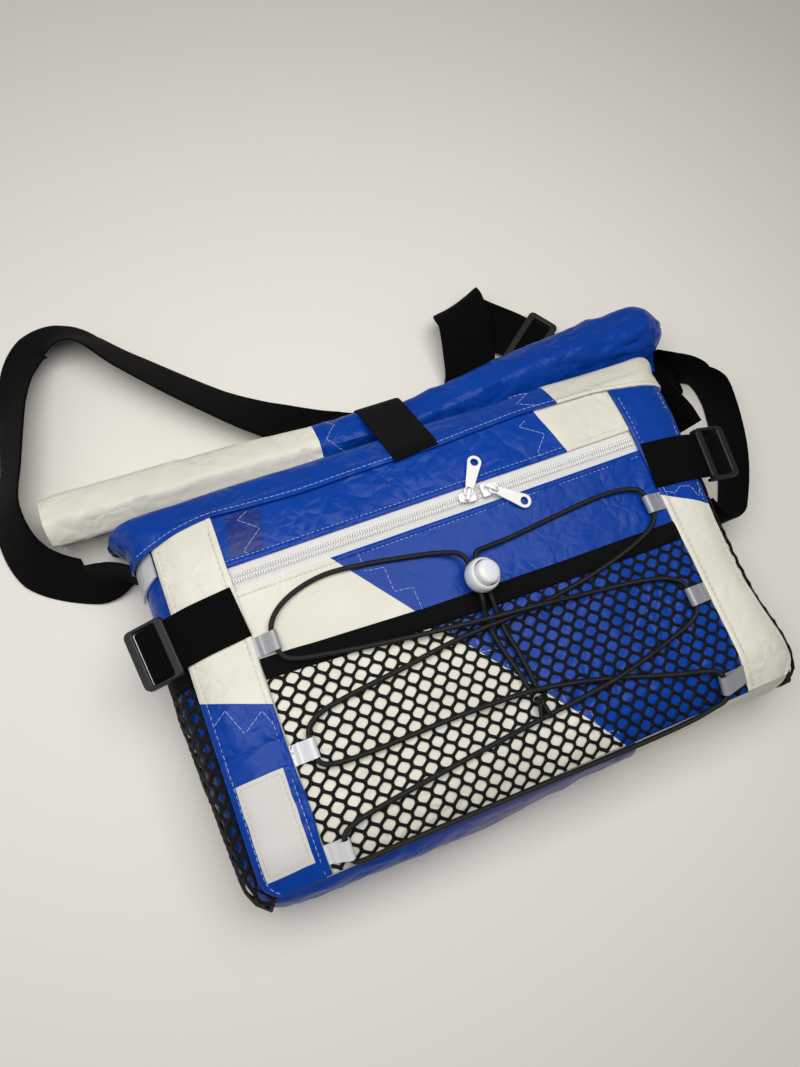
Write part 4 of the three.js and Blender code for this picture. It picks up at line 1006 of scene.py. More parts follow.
class Gusset:
    """Cloth between the front and the back, round both sides and the base."""

    SEAM_DROP = 1.7
    BASE_SPLIT = 54.0
    # Corners of the pale patch on the left side: height along the side and row of the section
    PATCH = ((79.0, 0.1), (72.0, 2.2), (92.0, 2.6), (94.0, 0.1))
    PATCH_STEPS = 12
    # Height of the patch's outer and inner face over the gusset
    PATCH_FACES = (2.0, 0.6)
    CLOTH = 1.2
    LAST = len(GUSSET_SECTION) - 1
    ROWS = 43
    # Height that the section is drawn at, and length of cloth along one of its rows
    DRAWN_HEIGHT = 60
    ROW_LENGTH = 11.0

    def __init__(self, front: Front) -> None:
        """Takes the front that the gusset hangs from."""
        self.front = front
        self._ripple = Ripple(23)
        rows = [(out, fallen * self.DRAWN_HEIGHT, 0) for out, fallen in GUSSET_SECTION]
        self._section = spline(rows, 8)
        self._t = np.linspace(0, self.LAST, len(self._section))

    def side(self, side: Side, y: Array) -> Run:
        """Stations up one side. Those below the side's foot run on round the corner of the base."""
        front = self.front
        foot = front.base_y + front.corner
        angle = np.maximum(foot - y, 0) / front.corner
        cos, sin = np.cos(angle), np.sin(angle)
        fullness = LEFT_FULLNESS if side is Side.LEFT else RIGHT_FULLNESS
        edge = side.value * (front.half_width - front.corner + front.corner * cos)
        level = np.maximum(y, foot) - front.corner * sin
        drawn = front.drawn(edge, level) * (angle == 0)
        return Run(edge, level, side.value * cos, -sin, soft_read(fullness, level, 8.0), drawn)

    def base(self, side: Side, split: float) -> Run:
        """Stations from the lower corner of one side along the base to a split."""
        front = self.front
        turn = np.linspace(0, math.pi / 2, 14)
        inner = front.half_width - front.corner
        out_x, out_y = side.value * np.cos(turn), -np.sin(turn)
        x = side.value * inner + out_x * front.corner
        y = front.base_y + front.corner + out_y * front.corner
        flat = steps(side.value * inner, split, 2.5)[1:]
        corner_bulge = read(BASE_FULLNESS, side.value * inner)
        level = np.ones_like(flat)
        bulge = 1 + (corner_bulge - 1) * turn / turn[-1]
        return Run(
            np.concatenate([x, flat]),
            np.concatenate([y, level * front.base_y]),
            np.concatenate([out_x, level * 0]),
            np.concatenate([out_y, -level]),
            np.concatenate([bulge, soft_read(BASE_FULLNESS, flat, 18.0)]),
            np.zeros(len(x) + len(flat)),
        )

    def points(self, run: Run, t: Array, lift: Array | float = 0.0) -> Array:
        """Points of the gusset's outer face.

        Args:
            run: Stations.
            t: Rows of the section, from 0 at the front seam to the last one at the back.
            lift: How far out from the face, for each station and row.

        Returns:
            Grid of points, stations by rows.
        """
        out = np.interp(t, self._t, self._section[:, 0])
        fallen = np.interp(t, self._t, self._section[:, 1]) / self.DRAWN_HEIGHT
        slope_out = np.interp(t, self._t, np.gradient(self._section[:, 0], self._t))
        slope_fallen = np.interp(t, self._t, np.gradient(self._section[:, 1], self._t)) / self.DRAWN_HEIGHT
        top = (self.front.flat(run.x - run.out_x * run.drawn, run.y) - self.SEAM_DROP)[:, None]
        bulge = run.bulge[:, None]
        reach = np.where(out > 0, out * bulge, out) - run.drawn[:, None] * (1 - fallen)
        normal_out = top * slope_fallen
        normal_up = np.where(out > 0, slope_out * bulge, slope_out)
        size = np.hypot(normal_out, normal_up)
        reach = reach + lift * normal_out / size
        z = top * (1 - fallen) + lift * normal_up / size
        x = run.x[:, None] + run.out_x[:, None] * reach
        y = run.y[:, None] + run.out_y[:, None] * reach
        return np.stack([x, y, np.maximum(z, 0.0)], axis=-1)

    def dents(self, run: Run, t: Array, seed: float, size: float, long: float) -> Array:
        """Dents of the cloth, none at its seams.

        Args:
            run: Stations.
            t: Rows of the section.
            seed: Start in the noise, so that the sides differ.
            size: Depth of the dents.
            long: How long the dents are along the gusset.

        Returns:
            How far out the cloth lies, for each station and row.
        """
        along = run.length()[:, None]
        hold = np.clip(np.minimum(t, self.LAST - t) / 1.2, 0, 1)
        slow = self._ripple.at(along / long + seed, t * 0.8)
        sharp = self._ripple.crumple(along / (long * 0.7) + seed, t * 0.9 + seed, 3)
        return size * hold * (0.7 * slow + 1.3 * sharp - 0.3)

    def build(self, shop: Workshop) -> None:
        """Makes both sides and the two lengths of the base."""
        t = np.linspace(0, self.LAST, self.ROWS)
        for side in Side:
            run = self.side(side, steps(self.front.base_y + self.front.corner, self.front.mouth_y, 2.6))
            lift = self.dents(run, t, 3.0 + side.value, 1.3, 26.0)
            self._publish(shop, side.word + "_gusset", run, t, lift, BLUE, "sailcloth_blue")
        self._patch(shop)
        for side, split, finish, word in (
            (Side.LEFT, self.BASE_SPLIT, LILAC, "blue"),
            (Side.RIGHT, self.BASE_SPLIT + 0.2, CREAM, "white"),
        ):
            run = self.base(side, split)
            lift = self.dents(run, t, 8.0 + side.value, 2.1, 48.0) + self._piping(run, t)
            hold = np.clip(np.minimum(t - 0.6, self.LAST - t) / 0.8, 0, 1)
            lift = lift + hold * self._ripple.crumple(run.length()[:, None] / 80 + t * 0.3, t * 2.2 + 3, 2)
            self._publish(shop, "base_gusset_" + word, run, t, lift, finish, "sailcloth_" + word)

    def _publish(
        self, shop: Workshop, name: str, run: Run, t: Array, lift: Array, finish: Finish, slot: str
    ) -> None:
        """Makes one length of the gusset in place of the CAD node of its name."""
        grids = (self.points(run, t, lift), self.points(run, t, lift - self.CLOTH))
        uv = pairs(run.length()[:, None], t * self.ROW_LENGTH)
        shop.wall(name + "_cloth", grids, uv, finish, slot, [name])

    def _patch(self, shop: Workshop) -> None:
        """Makes the pale patch at the top of the left side."""
        shares = np.linspace(0, 1, self.PATCH_STEPS)
        u, v = np.meshgrid(shares, shares)
        corners = np.array(self.PATCH)
        low = corners[0] + (corners[1] - corners[0]) * u[..., None]
        high = corners[3] + (corners[2] - corners[3]) * u[..., None]
        place = (low + (high - low) * v[..., None]).reshape(-1, 2)
        grids = []
        for lift in self.PATCH_FACES:
            rows = [self.points(self.side(Side.LEFT, y[None]), t[None], lift)[0, 0] for y, t in place]
            grids.append(np.array(rows).reshape(self.PATCH_STEPS, self.PATCH_STEPS, 3))
        shop.wall("left_gusset_patch", tuple(grids), None, PALE_CLOTH, "sailcloth_blue")

    def _piping(self, run: Run, t: Array) -> Array:
        """Raised edge of the seam allowance under the front seam."""
        swell = np.exp(-((t - 0.55) / 0.32) ** 2)
        return swell * (0.9 + 0.5 * self._ripple.at(run.length()[:, None] / 34, 0.5))


class Seam(NamedTuple):
    """Straight colour seam: a place on it, and how fast it falls from there."""

    value: float
    key: float
    slope: float

    def __call__(self, at: Array) -> Array:
        """Where the seam runs at a place."""
        return self.value + (self.key - at) * self.slope


# X of the seams across the lower front and above the zip, read at Y
DIAGONAL = Seam(-76.4, 56.8, 0.764)
BAND_SPLIT = Seam(80, 98, 0.231)
# Y of the seams across the edge strips, read at X
LEFT_SPLIT = Seam(2, -166, 0.389)
RIGHT_SPLIT = Seam(21, 133, 0.5)

# Zigzag seams left from the sail on the front: X, Y of each corner, and the height over the front
ZIGZAGS = (
    (((-166.1, -13), (-155.6, -6), (-149.6, -21.1), (-137.5, -13), (-132.2, -26.8)), 1.7),
    (((-109.6, 97), (-116.6, 93.6), (-106, 84.4), (-118.9, 74.2), (-115.6, 71.1)), 0.5),
    (((71.4, 97), (65.6, 94.1), (78.5, 84.1), (69, 74), (70.5, 70)), 0.1),
    (((133.6, 23.6), (139.9, 20.6), (144.6, 23.4), (151.6, 21.4), (154.7, 13.4), (157.7, 17.5)), 1.7),
)
# Corners of the dark double patch above the zip
DOUBLE_PATCH = ((-127.2, 72.8), (-107.5, 72.4), (-102.5, 97.4), (-122.5, 98))


class FrontPanels:
    """Cloth of the front: lower panel, band above the zip, edge strips, back and label."""

    CLOTH = 1.2
    STRIP = 1.6
    EDGE_TICKS = (0.0, 0.3, 0.9, 2.0, 2.7, 3.3, 4.2)
    SHEET_STEP = 3.0
    STITCH_INSET = 3.6
    UNDER_HEM = 5.4
    # How far the panel on top stands over its neighbour at a colour seam
    OVERLAP = 0.25
    STRIP_OVERLAP = 0.2
    PANEL_PUCKER = 0.1
    STRIP_PUCKER = 0.3
    DOUBLE_HEIGHT = 0.45
    DOUBLE_CLOTH = 0.4
    BACK_HALF = 157
    BACK_FOOT = -94.5
    BACK_STEP = 5.0
    # Lower left corner and size of the label, and the seam round it
    LABEL_AT = (-163.2, -95.4)
    LABEL_SIZE = (26.4, 50.6)
    LABEL_HEIGHT = 2.45
    LABEL_CLOTH = 0.6
    LABEL_SEAM = ((-161.2, -93.4), (-138.8, -93.0), (-138.8, -46.8), (-161.2, -47.2), (-161.2, -93.4))
    # Heights between which the strips are sewn
    STRIP_SEWN = (-103.0, 92.0)
    # First corner of the stepped seam, its strokes across and down, and their number
    STEP_START = (-58.5, 55.0)
    STEP_ACROSS = (11.0, -1.4)
    STEP_DOWN = (0.4, -15.2)
    STEP_COUNT = 19

    def __init__(self, front: Front, stitcher: Stitcher) -> None:
        """Takes the shape of the front and the sewing."""
        self.front = front
        self.stitcher = stitcher
        self._ripple = Ripple(31)

    def _shares(self, length: float, step: float, turned_low: bool, turned_high: bool) -> Array:
        """Shares from 0 to 1 along a length, closer together at its turned edges."""
        low = self.EDGE_TICKS if turned_low else (0.0,)
        high = self.EDGE_TICKS if turned_high else (0.0,)
        inside = steps(low[-1] + step / 2, length - high[-1] - step / 2, step)
        return np.concatenate([low, inside, length - np.array(high[::-1])]) / length

    def _sheet(
        self,
        x_lines: tuple[Line, Line],
        y_lines: tuple[Line, Line],
        height: float,
        turned: Sequence[bool],
        pucker: float,
    ) -> tuple[Array, Array]:
        """Grid of a panel between four lines.

        Args:
            x_lines: Left and right edge, each as X at a height.
            y_lines: Lower and upper edge, each as Y at a place across.
            height: Height of its face over the front.
            turned: Whether the left, right, lower and upper edge is turned under, and so thicker.
            pucker: How much the cloth draws up along its turned edges.

        Returns:
            Grid of the face, and texture places.
        """
        middle = np.array(0.0)
        low, high = y_lines[0](middle + x_lines[0](middle)), y_lines[1](middle + x_lines[0](middle))
        rows = self._shares(float(high - low), self.SHEET_STEP, turned[2], turned[3])
        width = float(abs(x_lines[1]((low + high) / 2) - x_lines[0]((low + high) / 2)))
        cols = self._shares(width, self.SHEET_STEP, turned[0], turned[1])
        y = (low + (high - low) * rows)[:, None] + np.zeros(len(cols))
        for _ in range(2):
            left, right = x_lines[0](y), x_lines[1](y)
            x = left + (right - left) * cols
            bottom, top = y_lines[0](x), y_lines[1](x)
            y = bottom + (top - bottom) * rows[:, None]
        gaps = (np.abs(x - left), np.abs(right - x), y - bottom, top - y)
        lift = np.zeros_like(x)
        for gap, turn in zip(gaps, turned):
            if turn:
                wave = self._ripple.at((x + y) / 5.5, (x - y) / 9)
                fold = 0.5 * (1 - fade((gap - 2.6) / 0.8)) - 0.45 * (1 - fade(gap / 0.8))
                lift = np.maximum(lift, fold) + pucker * wave * np.exp(-((gap - 4.6) / 2.4) ** 2)
        creases = 0.75 * self._ripple.crumple(x / 21 + y / 60, y / 16 - x / 50, 3)
        fine = creases + 0.12 * self._ripple.at(x / 8, y / 8)
        return self.front.lay(x, y, height + lift + fine), pairs(x, y)

    def build(self, shop: Workshop) -> None:
        """Makes every panel and sews its edges."""
        front = self.front
        edge, low, high = front.panel_edge, front.zip_low, front.zip_high
        fixed = lambda value: (lambda at: np.full_like(np.asarray(at, float), value))
        foot, mouth = fixed(front.base_y), fixed(front.mouth_y + self.UNDER_HEM)
        jobs = (
            ("lower_panel_white", CREAM, (fixed(-edge), DIAGONAL), (foot, fixed(low)), (0, 0, 0, 1)),
            ("lower_panel_blue", BLUE, (DIAGONAL, fixed(edge)), (foot, fixed(low)), (0, 0, 0, 1)),
            ("zip_band_blue", BLUE, (fixed(-edge), BAND_SPLIT), (fixed(high), mouth), (0, 0, 1, 0)),
            ("zip_band_white", CREAM, (BAND_SPLIT, fixed(edge)), (fixed(high), mouth), (0, 0, 1, 0)),
        )
        for name, finish, x_lines, y_lines, turned in jobs:
            over = self.OVERLAP if name in ("lower_panel_blue", "zip_band_white") else 0.0
            self._publish(shop, name, finish, x_lines, y_lines, over, turned, self.PANEL_PUCKER)
        self._strips(shop)
        self._patch(shop)
        self._back(shop)
        self._label(shop)
        self._sew()

    def _publish(
        self,
        shop: Workshop,
        name: str,
        finish: Finish,
        x_lines: tuple[Line, Line],
        y_lines: tuple[Line, Line],
        height: float,
        turned: Sequence[int],
        pucker: float,
    ) -> None:
        """Makes one panel in place of the CAD node of its name."""
        grid, uv = self._sheet(x_lines, y_lines, height, [bool(turn) for turn in turned], pucker)
        slot = "sailcloth_" + name.split("_")[-1]
        shop.wall(name + "_cloth", (grid, grid - UP * self.CLOTH), uv, finish, slot, [name])

    def _strips(self, shop: Workshop) -> None:
        """Makes the edge strips, each in two colours."""
        front = self.front
        for side, split, upper, lower in (
            (Side.LEFT, LEFT_SPLIT, "white", "blue"),
            (Side.RIGHT, RIGHT_SPLIT, "blue", "white"),
        ):
            outer = lambda y, side=side: side.value * front.edge(np.asarray(y, float), side)
            inner = lambda y, side=side: side.value * (
                front.strip_edge + 0.5 * self._ripple.at(np.asarray(y, float) / 23, side.value * 5.0))
            for colour, y_lines in (
                (upper, (split, lambda x: np.full_like(x, front.mouth_y + self.UNDER_HEM))),
                (lower, (lambda x: np.full_like(x, front.base_y + 0.6), split)),
            ):
                finish = BLUE if colour == "blue" else CREAM
                height = self.STRIP + (self.STRIP_OVERLAP if colour == "blue" else 0.0)
                name = f"{side.word}_strip_{colour}"
                x_lines, turned = (outer, inner), (1, 1, 0, 0)
                self._publish(shop, name, finish, x_lines, y_lines, height, turned, self.STRIP_PUCKER)

    def _patch(self, shop: Workshop) -> None:
        """Makes the dark double patch above the zip."""
        corners = np.array(DOUBLE_PATCH, float)
        u, v = np.linspace(0, 1, 12)[None, :, None], np.linspace(0, 1, 14)[:, None, None]
        low = corners[0] * (1 - u) + corners[1] * u
        high = corners[3] * (1 - u) + corners[2] * u
        plan = low * (1 - v) + high * v
        grid = self.front.lay(plan[..., 0], plan[..., 1], self.DOUBLE_HEIGHT)
        faces = (grid, grid - UP * self.DOUBLE_CLOTH)
        shop.wall("zip_band_double_patch", faces, plan, NAVY, "sailcloth_blue")

    def _back(self, shop: Workshop) -> None:
        """Makes the back that the bag lies on."""
        across = steps(-self.BACK_HALF, self.BACK_HALF, self.BACK_STEP)
        x, y = np.meshgrid(across, steps(self.BACK_FOOT, self.front.mouth_y, self.BACK_STEP))
        z = self.CLOTH + 0.5 * np.abs(self._ripple.at(x / 40, y / 35))
        grid = np.stack([x, y, z], axis=-1)
        under = np.stack([x, y, np.maximum(z - self.CLOTH, 0.0)], axis=-1)
        shop.wall("back_panel_cloth", (grid, under), pairs(x, y), BLUE, "sailcloth_blue", ["back_panel"])

    def _label(self, shop: Workshop) -> None:
        """Makes the blank sewn label."""
        u, v = np.meshgrid(np.linspace(0, 1, 27), np.linspace(0, 1, 51))
        (left, foot), (width, length) = self.LABEL_AT, self.LABEL_SIZE
        x = left + width * u + 0.35 * self._ripple.at(v * 7, 3.5)
        y = foot + length * v + 0.35 * self._ripple.at(u * 4, 8.5) + 0.8 * (u - 0.5)
        gap = np.minimum(np.minimum(u, 1 - u) * 26, np.minimum(v, 1 - v) * 50)
        pull = 0.3 * np.exp(-((gap - 2.0) / 0.9) ** 2)
        edge = 0.35 * (1 - fade(gap / 0.7))
        height = self.LABEL_HEIGHT - pull - edge + 0.25 * self._ripple.at(x / 9, y / 11)
        grid = self.front.lay(x, y, height)
        faces = (grid, grid - UP * self.LABEL_CLOTH)
        shop.wall("label_patch_cloth", faces, pairs(x, y), LABEL, "label_cloth", ["label_patch"])
        seam = resample(np.array(self.LABEL_SEAM), 1.0)
        sewn = self.front.lay(seam[:, 0], seam[:, 1], self.LABEL_HEIGHT - 0.1)
        self.stitcher.run(sewn, BEIGE_THREAD, 3.0)

    def _sew(self) -> None:
        """Sews the turned edges, the colour seams and the zigzags."""
        front, sew = self.front, self.stitcher.run
        inset = self.STITCH_INSET
        for y, split in ((front.zip_low - inset, DIAGONAL), (front.zip_high + inset, BAND_SPLIT)):
            seam = float(split(np.array(y)))
            threads = (BEIGE_THREAD, PALE_THREAD) if split is DIAGONAL else (PALE_THREAD, BEIGE_THREAD)
            parts = ((-front.strip_edge, seam), (seam, front.strip_edge))
            for (start, end), thread in zip(parts, threads):
                x = steps(start, end, 2.0)
                sew(front.lay(x, np.full_like(x, y), 0.2), thread, 3.0)
        for side, split, upper, lower in (
            (Side.LEFT, LEFT_SPLIT, BEIGE_THREAD, PALE_THREAD),
            (Side.RIGHT, RIGHT_SPLIT, PALE_THREAD, BEIGE_THREAD),
        ):
            level = float(split(np.array(side.value * 149.0)))
            foot, head = self.STRIP_SEWN
            for start, end, thread in ((foot, level, lower), (level, head, upper)):
                y = steps(start, end, 2.0)
                for out in (front.strip_edge + inset, front.edge(y, side) - inset):
                    sew(front.lay(side.value * out + 0 * y, y, self.STRIP + 0.3), thread, 3.6)
        for corners, height in ZIGZAGS:
            line = resample(np.array(corners, float), 0.8)
            sew(front.lay(line[:, 0], line[:, 1], height + 0.25), PALE_THREAD, 3.4, 0.9)
        self._steps()

    def _steps(self) -> None:
        """Sews the stepped seam that runs along the diagonal."""
        corners = [np.array(self.STEP_START)]
        for k in range(self.STEP_COUNT):
            corners.append(corners[-1] + np.array(self.STEP_ACROSS if k % 2 else self.STEP_DOWN))
        line = resample(np.array(corners), 0.8)
        line = line[line[:, 1] > self.front.base_y + 8]
        self.stitcher.run(self.front.lay(line[:, 0], line[:, 1], 0.4), PALE_THREAD, 3.4, 0.85)


class Zip:
    """Tape, teeth, two sliders and their pulls."""

    LINE = 61.0
    # Places across the tape, and how high it lies there
    TAPE_ACROSS = np.array((-10.0, -7.0, -5.0, -3.6, -3.2, 0.0, 3.2, 3.6, 5.0, 7.0, 10.0))
    TAPE_RISE = np.array((0.0, 0.3, 0.6, 0.9, 1.1, 1.25, 1.1, 0.9, 0.6, 0.3, 0.0))
    TAPE_REACH = 132
    TAPE_THICK = 1.0
    TAPE_SEAM = 3.5
    PITCH = 1.5
    # Half sizes of a coil turn along, across and over the zip
    TURN = (0.68, 1.5, 0.9)
    REACH = 129.5
    SLIDERS = ((Side.LEFT, Body.PULL_LEFT, 15.0, 56.0, 1), (Side.RIGHT, Body.PULL_RIGHT, 29.5, -39.0, -1))
    PLATE_Z = 71.2
    PLATE = 2.2
    ARCH_WIDTH = 2.2
    PIVOT = 1.6
    TILT = 7.0
    TIP = 22.6
    PULL_THICK = 1.25

    def __init__(self, front: Front, stitcher: Stitcher) -> None:
        """Takes the shape of the front and the sewing."""
        self.front = front
        self.stitcher = stitcher

    def build(self, shop: Workshop) -> None:
        """Makes every piece of the zip."""
        self._tape(shop)
        self._teeth(shop)
        for side, body, x, heading, flip in self.SLIDERS:
            self._slider(shop, side, x, math.radians(heading), flip)
            self._pull(shop, side, body, x, math.radians(heading))

    def _tape(self, shop: Workshop) -> None:
        """Makes the woven tape."""
        along = steps(-self.TAPE_REACH, self.TAPE_REACH, 3.0)
        x, y = np.meshgrid(along, self.LINE + self.TAPE_ACROSS)
        grid = self.front.lay(x, y, -1.7 + self.TAPE_RISE[:, None])
        faces = (grid, grid - UP * self.TAPE_THICK)
        shop.wall("zip_tape_weave", faces, pairs(x, y), TAPE, "zip_tape", ["zip_tape"])
        for offset in (-self.TAPE_SEAM, self.TAPE_SEAM):
            line = steps(-self.REACH, self.REACH, 2.0)
            self.stitcher.run(self.front.lay(line, self.LINE + offset + 0 * line, -0.7), TEETH, 2.0)

    def _teeth(self, shop: Workshop) -> None:
        """Makes two rows of coil turns that lie between each other."""
        turn = np.linspace(0, 2 * math.pi, 8, endpoint=False)
        long, wide, high = self.TURN
        rings = []
        for share in (-1.0, -0.8, -0.35, 0.35, 0.8, 1.0):
            size = math.sqrt(max(0.02, 1 - share * share))
            x, z = long * size * np.cos(turn), high * size * np.sin(turn)
            rings.append(np.stack([x, 0 * turn + wide * share, z], axis=1))
        points = np.concatenate(rings)
        faces = MeshDraft.quads(len(rings), len(turn), wrap=True)
        draft = MeshDraft()
        for row, shift in ((-wide, 0.0), (wide, 0.5)):
            x = np.arange(-self.REACH, self.REACH, self.PITCH) + shift * self.PITCH
            draft.copies(points, faces, self.front.lay(x, self.LINE + row + 0 * x, 0.15))
        shop.publish("zip_coil_teeth", draft, TEETH, "zip_tape", ["zip_coil"])

    def _slider(self, shop: Workshop, side: Side, x: float, heading: float, flip: int) -> None:
        """Makes a slider: its body over the coil and the arch that the pull hangs on."""
        outline = np.array((
            (-5.6, -2.0), (-5.0, -2.6), (-2.0, -3.4), (1.0, -4.3), (4.4, -4.3), (5.2, -3.5),
            (5.2, 3.5), (4.4, 4.3), (1.0, 4.3), (-2.0, 3.4), (-5.0, 2.6), (-5.6, 2.0),
        )) * (flip, 1)
        place = Matrix.Translation((x, self.LINE + 0.5, self.PLATE_Z))
        draft = MeshDraft()
        middle = place @ Matrix.Translation((0, 0, self.PLATE / 2))
        draft.plate(Plate.cut([outline], self.PLATE, 0.6), middle)
        arch = np.concatenate([
            np.array(((3.6, 0.0), (3.6, 2.6))),
            Plate.circle(2.4, 2.7, 1.2, 0, 90, 6),
            Plate.circle(-2.4, 2.7, 1.2, 90, 180, 6),
            np.array(((-3.6, 0.0), (-2.5, 0.0), (-2.5, 2.4), (-2.1, 2.75))),
            np.array(((2.1, 2.75), (2.5, 2.4), (2.5, 0.0))),
        ])
        stand = Matrix.Rotation(heading, 4, "Z") @ Matrix.Rotation(math.pi / 2, 4, "X")
        seat = place @ Matrix.Translation((0, 0, self.PLATE - 0.1)) @ stand
        draft.plate(Plate.cut([arch], self.ARCH_WIDTH, 0.35), seat)
        name = "zip_slider_" + side.word
        shop.publish(name + "_cast", draft, PAINT, "zip_metal", [name], crease=50.0)

    def _pull(self, shop: Workshop, side: Side, body: Body, x: float, heading: float) -> None:
        """Makes a pull: a tongue with a round hole, and an eye through the arch."""
        outline = np.concatenate([
            Plate.circle(self.TIP, 0, 4.4, -96, 96, 22),
            np.array(((15.0, 3.55), (10.0, 3.15), (7.4, 2.9))),
            Plate.circle(2.3, 0, 3.1, 48, 312, 24),
            np.array(((7.4, -2.9), (10.0, -3.15), (15.0, -3.55))),
        ])
        eye_back = Plate.circle(2.3, 0, 1.75, 90, 270, 12)
        eye = np.concatenate([eye_back, Plate.circle(3.6, 0, 1.75, -90, 90, 12)])
        hole = Plate.circle(self.TIP, 0, 2.5)
        pivot = Matrix.Translation((x, self.LINE + 0.5, self.PLATE_Z + self.PLATE + self.PIVOT))
        turn = Matrix.Rotation(heading, 4, "Z") @ Matrix.Rotation(math.radians(self.TILT), 4, "Y")
        draft = MeshDraft()
        draft.plate(Plate.cut([outline, eye[::-1], hole[::-1]], self.PULL_THICK, 0.35), pivot @ turn)
        name = "zip_pull_" + side.word
        shop.publish(name + "_cast", draft, PAINT, "zip_metal", [name], body, 50.0)


# Top edge of the front pocket: X and Y
POCKET_TOP = ((-130.1, 14), (-60, 9.5), (0, 7), (65, 5.5), (130.1, 4.5))


class NetMesh:
    """Knitted net of round six-cornered holes."""

    PITCH = 8.9
    ROW = 6.0
    CORNERS = np.array((
        (4.45, 0.0), (4.45, 1.35), (2.225, 3.0), (0.0, 4.65), (-2.225, 3.0), (-4.45, 1.35),
        (-4.45, 0.0), (-4.45, -1.35), (-2.225, -3.0), (0.0, -4.65), (2.225, -3.0), (4.45, -1.35),
    ))
    HOLE = np.array((3.5, 3.45, 2.82, 3.28, 2.82, 3.45, 3.5, 3.45, 2.82, 3.28, 2.82, 3.45))
    KNOT = np.array((0.0, 1.0, 0.0, 1.0, 0.0, 1.0, 0.0, 1.0, 0.0, 1.0, 0.0, 1.0))
    # Share of the way from a hole's edge to its corners, and height there
    RINGS = ((1.0, 0.62), (0.45, 0.5), (0.0, 0.0), (0.45, -0.42), (1.0, -0.5))
    KNOT_RISE = 0.28
    # How far holes reach past the net's edges before they are cut off
    SPARE = 2.5
    WELD = 0.05
    WANDER = 0.45

    def __init__(self, seed: int) -> None:
        """Takes the seed of the net's small unevenness."""
        self._ripple = Ripple(seed)

    def draft(
        self,
        u_range: tuple[float, float],
        v_lines: tuple[Line, Line],
        place: Callable[[Array, Array, Array], Array],
        open_share: float = 1.0,
    ) -> MeshDraft:
        """Draws the net over a stretch of cloth.

        Args:
            u_range: First and last place along the net.
            v_lines: Lower and upper edge at a place along it.
            place: Turns places along, across and over the cloth into points.
            open_share: How wide the holes are, beside those of the front.

        Returns:
            Mesh of the net.
        """
        length = np.hypot(*self.CORNERS.T)
        hole = self.CORNERS * (open_share * self.HOLE / length)[:, None]
        low = float(np.min(v_lines[0](np.array(u_range))))
        high = float(np.max(v_lines[1](np.array(u_range))))
        centres = []
        for row, v in enumerate(np.arange(low, high + self.ROW, self.ROW)):
            u = np.arange(u_range[0] + (row % 2) * self.PITCH / 2, u_range[1] + 1, self.PITCH)
            inside = (v > v_lines[0](u) - self.SPARE) & (v < v_lines[1](u) + self.SPARE)
            centres.append(np.stack([u[inside], np.full(inside.sum(), v)], axis=1))
        middle = np.concatenate(centres)
        rings = []
        for share, height in self.RINGS:
            plan = middle[:, None] + hole + (self.CORNERS - hole) * share
            rise = height + self.KNOT_RISE * self.KNOT * np.sign(height) * (share > 0.9)
            level = np.broadcast_to(rise[:, None], plan.shape[:2] + (1,))
            rings.append(np.concatenate([plan, level], axis=-1))
        points = np.stack(rings, axis=1).reshape(-1, 3)
        faces = MeshDraft.quads(len(self.RINGS), len(self.CORNERS), wrap=True)
        size = len(self.RINGS) * len(self.CORNERS)
        faces = (faces[None] + np.arange(len(middle))[:, None, None] * size).reshape(-1, 4)
        merged, back = np.unique(np.round(points / self.WELD).astype(int), axis=0, return_inverse=True)
        points = merged * self.WELD
        faces = back.reshape(-1)[faces]
        u, v, height = points.T
        u = u + self.WANDER * self._ripple.at(u / 13, v / 13)
        v = v + self.WANDER * self._ripple.at(u / 13 + 20, v / 13 + 30)
        height = height * (1 + 0.25 * self._ripple.at(u / 1.7, v / 1.7))
        u = np.clip(u, *u_range)
        v = np.clip(v, v_lines[0](u), v_lines[1](u))
        draft = MeshDraft()
        draft.add(place(u, v, height), faces, np.stack([u, v], axis=1))
        return draft


